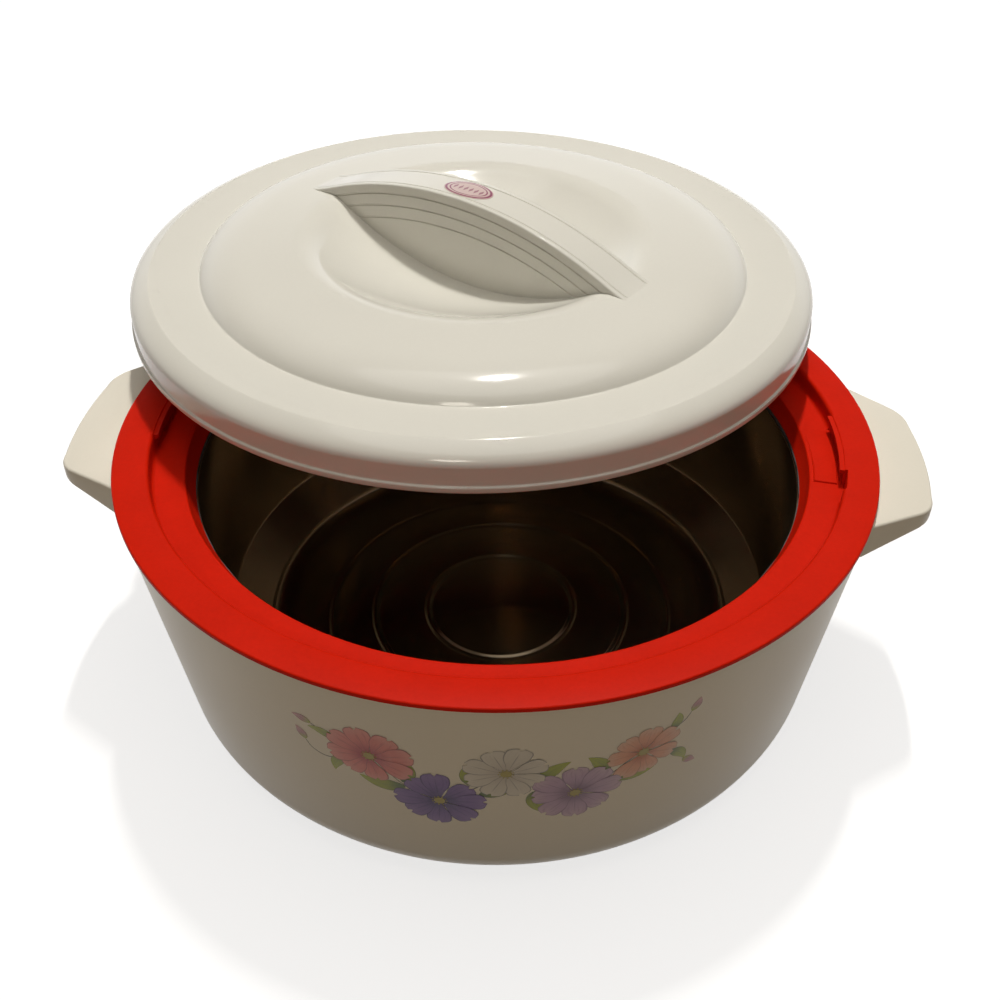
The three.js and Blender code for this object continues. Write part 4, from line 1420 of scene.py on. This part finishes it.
# Leaves: root in millimetres, heading in degrees, length, width and bend.
LEAVES = (
    ((-31, -1), 60, 15, 6.2, 0.5), ((-30, -3), 205, 16, 6.5, -0.5), ((-7, 1), 118, 14, 6.0, -0.4),
    ((-6, -4), 12, 15, 6.4, 0.35), ((13, -2), 255, 15, 6.2, 0.5), ((14, 3), 70, 14, 5.8, -0.4),
    ((36, 3), 100, 13, 5.6, 0.4), ((38, 0), -28, 16, 6.4, 0.45), ((-52, 15), 140, 10, 4.2, 0.4),
    ((58, 5), -20, 11, 4.6, -0.5), ((-50, 6), 215, 11, 4.4, 0.5), ((57, 18), 60, 9, 4.0, 0.4),
)
# Stems, as points in millimetres.
STEMS = (
    ((-60, 20), (-52, 15), (-41, 11), (-31, -2), (-19, -9)),
    ((-19, -9), (-7, 0), (3, 9), (14, 2), (26, -6)),
    ((26, -6), (37, 1), (48, 10), (58, 5), (65, -3)),
    ((-50, 6), (-57, 3), (-62, 5), (-64, 9)),
    ((57, 18), (61, 21), (63, 25)),
)
# Buds at the stems' ends: root in millimetres and heading in degrees.
BUDS = (((-60, 20), 150), ((65, -3), -50), ((-64, 9), 100), ((63, 25), 60))


# Stage

FLOOR_CORNERS = ((-1, -1), (1, -1), (1, 1), (-1, 1))
FLOOR_REACH = 4.0
FLOOR_DROP = 0.0002
FLOOR_GLOW = 0.74
# Dim ceiling that reflections see, and the heights on the sky between which it begins.
CEILING = (0.3, 0.28, 0.25)
CEILING_START, CEILING_FULL = 0.2, 0.55
# Lamps: name, place, shape, its two sizes, watts and tint. All point at one place.
LAMP_TARGET = (0, 0.04, 0.1)
LAMPS = (
    ("Ceiling Lamp", (0.02, 0.5, 1.62), "RECTANGLE", (0.035, 0.18), 16, (1.0, 0.975, 0.93)),
    ("Ceiling Glow", (0.08, 0.1, 2.4), "ELLIPSE", (2.4, 2.4), 19.0, (1.0, 0.975, 0.935)),
    ("Front Glow", (-0.08, -1.25, 1.1), "ELLIPSE", (0.3, 0.3), 2.6, (1.0, 0.93, 0.82)),
)
# Camera: place, view and right-hand directions, lens and sensor in millimetres, and shift.
CAMERA_PLACE = (0.02632, -0.33155, 0.33205)
CAMERA_AHEAD = (-0.01619, 0.77302, -0.63418)
CAMERA_RIGHT = (0.99857, 0.04486, 0.02919)
CAMERA_LENS, CAMERA_SENSOR = 42.564, 36
CAMERA_SHIFT = (-0.05432, 0.0101)


def seen_rays(nodes):
    """Two masks: rays of reflections and clear pieces, and the same with the camera's own."""
    path = nodes.node("ShaderNodeLightPath").outputs
    reflected = nodes.any_of(path["Is Glossy Ray"], path["Is Transmission Ray"])
    return reflected, nodes.any_of(path["Is Camera Ray"], reflected)


def floor_material(colours):
    """Pale floor that keeps the shadow. It looks white to the camera and in reflections."""
    material = bpy.data.materials.new("Pale Floor")
    material.use_nodes = True
    material.node_tree.nodes.clear()
    nodes = Nodes(material.node_tree)
    seen = seen_rays(nodes)[1]
    grain = nodes.noise(nodes.place(), 6.0, 3.0)
    pale = nodes.mix(grain, opaque(colours.floor), opaque(colours.floor, 0.97))
    tone = nodes.mix(seen, opaque(colours.floor_bounce), pale)
    surface = nodes.first("ShaderNodeBsdfDiffuse", {"Color": tone})
    glow = nodes.first("ShaderNodeEmission", {
        "Color": opaque((1, 1, 1)), "Strength": nodes.times(seen, FLOOR_GLOW),
    })
    both = nodes.first("ShaderNodeAddShader", {0: surface, 1: glow})
    nodes.node("ShaderNodeOutputMaterial", {"Surface": both})
    return material


def light_world(colours):
    """Soft room light. The camera and reflections see white, and a dim ceiling high above."""
    world = bpy.data.worlds.new("Soft Room")
    bpy.context.scene.world = world
    world.use_nodes = True
    world.node_tree.nodes.clear()
    nodes = Nodes(world.node_tree)
    reflected, seen = seen_rays(nodes)
    up = nodes.parts(nodes.node("ShaderNodeTexCoord").outputs["Generated"])[2]
    ceiling = nodes.times(nodes.between(up, CEILING_START, CEILING_FULL), reflected)
    view = nodes.first("ShaderNodeBackground", {
        "Color": nodes.mix(ceiling, opaque((1, 1, 1)), opaque(CEILING)), "Strength": 1.0,
    })
    room = nodes.first("ShaderNodeBackground", {"Color": opaque(colours.room)})
    choice = nodes.first("ShaderNodeMixShader", {"Fac": seen, 1: room, 2: view})
    nodes.node("ShaderNodeOutputWorld", {"Surface": choice})


def add_lamp(name, place, shape, size, watts, tint):
    data = bpy.data.lights.new(name, "AREA")
    data.shape = shape
    data.size, data.size_y = size
    data.energy = watts
    data.color = tint
    lamp = loose_object(name, data)
    lamp.location = place
    lamp.rotation_euler = (Vector(LAMP_TARGET) - Vector(place)).to_track_quat("-Z", "Y").to_euler()


def add_camera():
    data = bpy.data.cameras.new("Camera")
    data.sensor_width = CAMERA_SENSOR
    data.lens = CAMERA_LENS
    data.shift_x, data.shift_y = CAMERA_SHIFT
    data.clip_start = 0.01
    camera = loose_object("Camera", data)
    ahead = Vector(CAMERA_AHEAD).normalized()
    right = Vector(CAMERA_RIGHT)
    right = (right - ahead * right.dot(ahead)).normalized()
    axes = Matrix((right, right.cross(ahead), -ahead)).transposed().to_4x4()
    camera.matrix_world = Matrix.Translation(CAMERA_PLACE) @ axes
    bpy.context.scene.camera = camera


# Operators

class CASSEROLE_OT_body(bpy.types.Operator):
    """Build the shell and finish the foam, plug and seal that it holds"""

    bl_idname = "casserole.body"
    bl_label = "Body"

    def execute(self, context):
        sizes, colours = context.scene.casserole_sizes, context.scene.casserole_colours
        white = body_plastic(colours)
        piece("body_shell", shell_mesh(sizes), "casserole", [white], ["outer_body"])
        dress("foam_plug", white)
        dress("body_foam", foam_filling(colours))
        dress("bowl_seal", kept("Seal Rubber", lambda name: plastic(
            name, colours.seal, 0.7, clouding=0.15, bump=0.05,
        )))
        return {"FINISHED"}


class CASSEROLE_OT_ring(bpy.types.Operator):
    """Build the ring with its ledge, mouth and two catches"""

    bl_idname = "casserole.ring"
    bl_label = "Ring"

    def execute(self, context):
        sizes, colours = context.scene.casserole_sizes, context.scene.casserole_colours
        red = kept("Ring Plastic", lambda name: plastic(
            name, colours.ring_red, 0.45, cloud_scale=60.0, clouding=0.22, grain=0.16, bump=0.05,
            specular=0.05,
        ))
        piece("ring", ring_mesh(sizes), "casserole", [red], ["top_ring"])
        return {"FINISHED"}


class CASSEROLE_OT_bowl(bpy.types.Operator):
    """Build the pressed steel bowl"""

    bl_idname = "casserole.bowl"
    bl_label = "Bowl"

    def execute(self, context):
        sizes, colours = context.scene.casserole_sizes, context.scene.casserole_colours
        piece("bowl", bowl_mesh(sizes), "casserole", [bowl_metal(colours)], ["steel_bowl"])
        return {"FINISHED"}


class CASSEROLE_OT_handles(bpy.types.Operator):
    """Build the two wing handles and finish their screws"""

    bl_idname = "casserole.handles"
    bl_label = "Handles"

    def execute(self, context):
        sizes, colours = context.scene.casserole_sizes, context.scene.casserole_colours
        white = body_plastic(colours)
        for side, half_turn in (("right", False), ("left", True)):
            wing = handle_mesh("wing_" + side, sizes, half_turn)
            piece("wing_" + side, wing, "casserole", [white], ["handle_" + side])
        screws = kept("Screw Steel", lambda name: sheet_metal(name, colours.screw_steel, 0.3, bump=0.05))
        for number in range(1, 5):
            dress(f"handle_screw_{number}", screws)
        return {"FINISHED"}


class CASSEROLE_OT_lid(bpy.types.Operator):
    """Build the lid's cover with its grip bar, its liner and plate"""

    bl_idname = "casserole.lid"
    bl_label = "Lid"

    def execute(self, context):
        scene = context.scene
        sizes, lid, colours = scene.casserole_sizes, scene.casserole_lid, scene.casserole_colours
        white = lid_plastic(colours)
        metal = kept("Lid Plate Steel", lambda name: sheet_metal(
            name, colours.bowl_steel, 0.12, axis=(lid.shift_x, lid.shift_y),
        ))
        cover = joined("lid_crown", [cover_mesh(lid), bar_mesh(lid)])
        for name, mesh, slot, finish, node in (
            ("lid_crown", cover, "lid_plastic", white, "lid_cover"),
            ("lid_plug", liner_mesh(lid), "lid_plastic", white, "lid_liner"),
            ("lid_inner_plate", plate_mesh(lid, sizes), "bowl_steel", metal, "lid_plate"),
        ):
            mesh.transform(lid_place(lid))
            piece(name, mesh, "lid", [finish], [node])
        dress("lid_foam", foam_filling(colours))
        return {"FINISHED"}


class CASSEROLE_OT_badge(bpy.types.Operator):
    """Build the plain oval badge on the grip bar"""

    bl_idname = "casserole.badge"
    bl_label = "Badge"

    def execute(self, context):
        lid, colours = context.scene.casserole_lid, context.scene.casserole_colours
        mesh = badge_mesh(lid)
        mesh.transform(lid_place(lid))
        piece("badge_oval", mesh, "lid", [self.film(colours)], ["lid_badge"])
        return {"FINISHED"}

    def film(self, colours):
        """Pale film with a double border and a row of small lozenges."""
        material, nodes, surface = new_material("Badge Film")
        oval = nodes.first("ShaderNodeUVMap", uv_map="oval")
        parts = nodes.parts(oval)
        reach = nodes.node("ShaderNodeVectorMath", {0: oval}, operation="LENGTH").outputs["Value"]
        outer = nodes.times(nodes.between(reach, 0.84, 0.88), nodes.between(reach, 0.98, 0.94))
        inner = nodes.times(nodes.between(reach, 0.7, 0.73), nodes.between(reach, 0.79, 0.76))
        cell = nodes.maths("PINGPONG", nodes.plus(parts[0], 0.11), 0.11)
        lozenge = nodes.plus(nodes.times(cell, 4.5), nodes.size_of(parts[1]))
        row = nodes.times(nodes.between(lozenge, 0.36, 0.28), nodes.between(reach, 0.64, 0.6))
        wash = nodes.noise(nodes.place(), 900.0, 3.0, 0.6)
        ink = nodes.any_of(outer, inner, nodes.times(row, 0.75))
        ink = nodes.times(ink, nodes.between(wash, 0.2, 0.5, 0.75, 1.0))
        ground = nodes.mix(wash, opaque(colours.badge_ground), opaque(colours.badge_ground, 0.9))
        nodes.put(surface["Base Color"], nodes.mix(ink, ground, opaque(colours.badge_line)))
        nodes.put(surface["Roughness"], 0.22)
        nodes.put(surface["Coat Weight"], 0.5)
        return material


class CASSEROLE_OT_print(bpy.types.Operator):
    """Lay the spray of blossoms, leaves and stems on the shell's front"""

    bl_idname = "casserole.print"
    bl_label = "Print"

    def execute(self, context):
        sizes, colours = context.scene.casserole_sizes, context.scene.casserole_colours
        heart = kept("Print Heart", lambda name: tinted_print(
            name, colours.heart, colours.heart, colours.heart, (0.12, 0.1, 0.02), colours.stem, 0.3, 9.0,
        ))
        for seed, row in enumerate(BLOSSOMS, start=3):
            name, place, petals, reach, width, heading, root, middle, tip, streak, strength = row
            finish = kept("Print " + name.title(), lambda title: tinted_print(
                title, root, middle, tip, streak, [0.35 * v for v in streak], strength, float(seed),
            ))
            mesh = blossom_mesh("blossom_" + name, {
                "Petals": petals, "Petal Length": reach * MM, "Petal Width": width * MM, "Seed": seed,
                "Heart Radius": HEART_RADIUS, "Notch": PETAL_NOTCH, "Layer Lift": PETAL_LIFT,
                "Petal Finish": finish, "Heart Finish": heart,
            }, scaled(place), math.radians(heading))
            laid_on_shell(mesh, sizes, PRINT_LAYERS["blossoms"] * sizes.print_lift)
            piece("blossom_" + name, mesh, "casserole", None)
        self.greens(sizes, colours)
        return {"FINISHED"}

    def greens(self, sizes, colours):
        """Stems, leaves and buds, each a piece of its own."""
        leaf, dark, stem = colours.leaf, colours.leaf_dark, colours.stem
        tints = {
            "print_stems": ("Print Stem", stem, stem, dark, stem, stem, 0.5, 2.0),
            "print_leaves": ("Print Leaf", dark, leaf, [1.15 * v for v in leaf], dark, stem, 0.6, 1.0),
            "print_buds": (
                "Print Bud", leaf, (0.42, 0.2, 0.2), (0.55, 0.3, 0.28), (0.3, 0.12, 0.14), stem, 0.5, 4.0,
            ),
        }
        parts = {
            "print_stems": [stem_mesh("stem", [scaled(p) for p in points], STEM_WIDTH) for points in STEMS],
            "print_leaves": [
                leaf_mesh("leaf", scaled(root), math.radians(heading), reach * MM, width * MM, bend)
                for root, heading, reach, width, bend in LEAVES
            ],
            "print_buds": [
                leaf_mesh("bud", scaled(root), math.radians(heading), BUD_LENGTH, BUD_WIDTH, BUD_BEND)
                for root, heading in BUDS
            ],
        }
        for name, meshes in parts.items():
            mesh = laid_on_shell(joined(name, meshes), sizes, PRINT_LAYERS[name] * sizes.print_lift)
            finish = kept(tints[name][0], lambda title: tinted_print(title, *tints[name][1:]))
            piece(name, mesh, "casserole", [finish])


class CASSEROLE_OT_stage(bpy.types.Operator):
    """Add the pale floor, the soft light and the camera"""

    bl_idname = "casserole.stage"
    bl_label = "Stage"

    def execute(self, context):
        colours = context.scene.casserole_colours
        mesh = bpy.data.meshes.new("floor")
        corners = [(x * FLOOR_REACH, y * FLOOR_REACH, -FLOOR_DROP) for x, y in FLOOR_CORNERS]
        mesh.from_pydata(corners, [], [(0, 1, 2, 3)])
        floor = loose_object("floor", mesh)
        floor.data.materials.append(floor_material(colours))
        light_world(colours)
        for lamp in LAMPS:
            add_lamp(*lamp)
        add_camera()
        context.scene.view_settings.view_transform = "Standard"
        return {"FINISHED"}


class CASSEROLE_PT_panel(bpy.types.Panel):
    """Steps that build the casserole"""

    bl_idname = "CASSEROLE_PT_panel"
    bl_label = "Insulated Casserole"
    bl_space_type = "VIEW_3D"
    bl_region_type = "UI"
    bl_category = "Casserole"

    def draw(self, context):
        for operator in OPERATORS:
            self.layout.operator(operator.bl_idname)


OPERATORS = (
    CASSEROLE_OT_body, CASSEROLE_OT_ring, CASSEROLE_OT_bowl, CASSEROLE_OT_handles,
    CASSEROLE_OT_lid, CASSEROLE_OT_badge, CASSEROLE_OT_print, CASSEROLE_OT_stage,
)
CLASSES = (CasseroleSizes, LidSizes, CasseroleColours, *OPERATORS, CASSEROLE_PT_panel)


def register():
    for cls in CLASSES:
        bpy.utils.register_class(cls)
    bpy.types.Scene.casserole_sizes = bpy.props.PointerProperty(type=CasseroleSizes)
    bpy.types.Scene.casserole_lid = bpy.props.PointerProperty(type=LidSizes)
    bpy.types.Scene.casserole_colours = bpy.props.PointerProperty(type=CasseroleColours)


def unregister():
    del bpy.types.Scene.casserole_colours
    del bpy.types.Scene.casserole_lid
    del bpy.types.Scene.casserole_sizes
    for cls in reversed(CLASSES):
        bpy.utils.unregister_class(cls)


def main():
    register()
    bpy.ops.casserole.body()
    bpy.ops.casserole.ring()
    bpy.ops.casserole.bowl()
    bpy.ops.casserole.handles()
    bpy.ops.casserole.lid()
    bpy.ops.casserole.badge()
    bpy.ops.casserole.print()
    bpy.ops.casserole.stage()


if __name__ == "__main__":
    main()
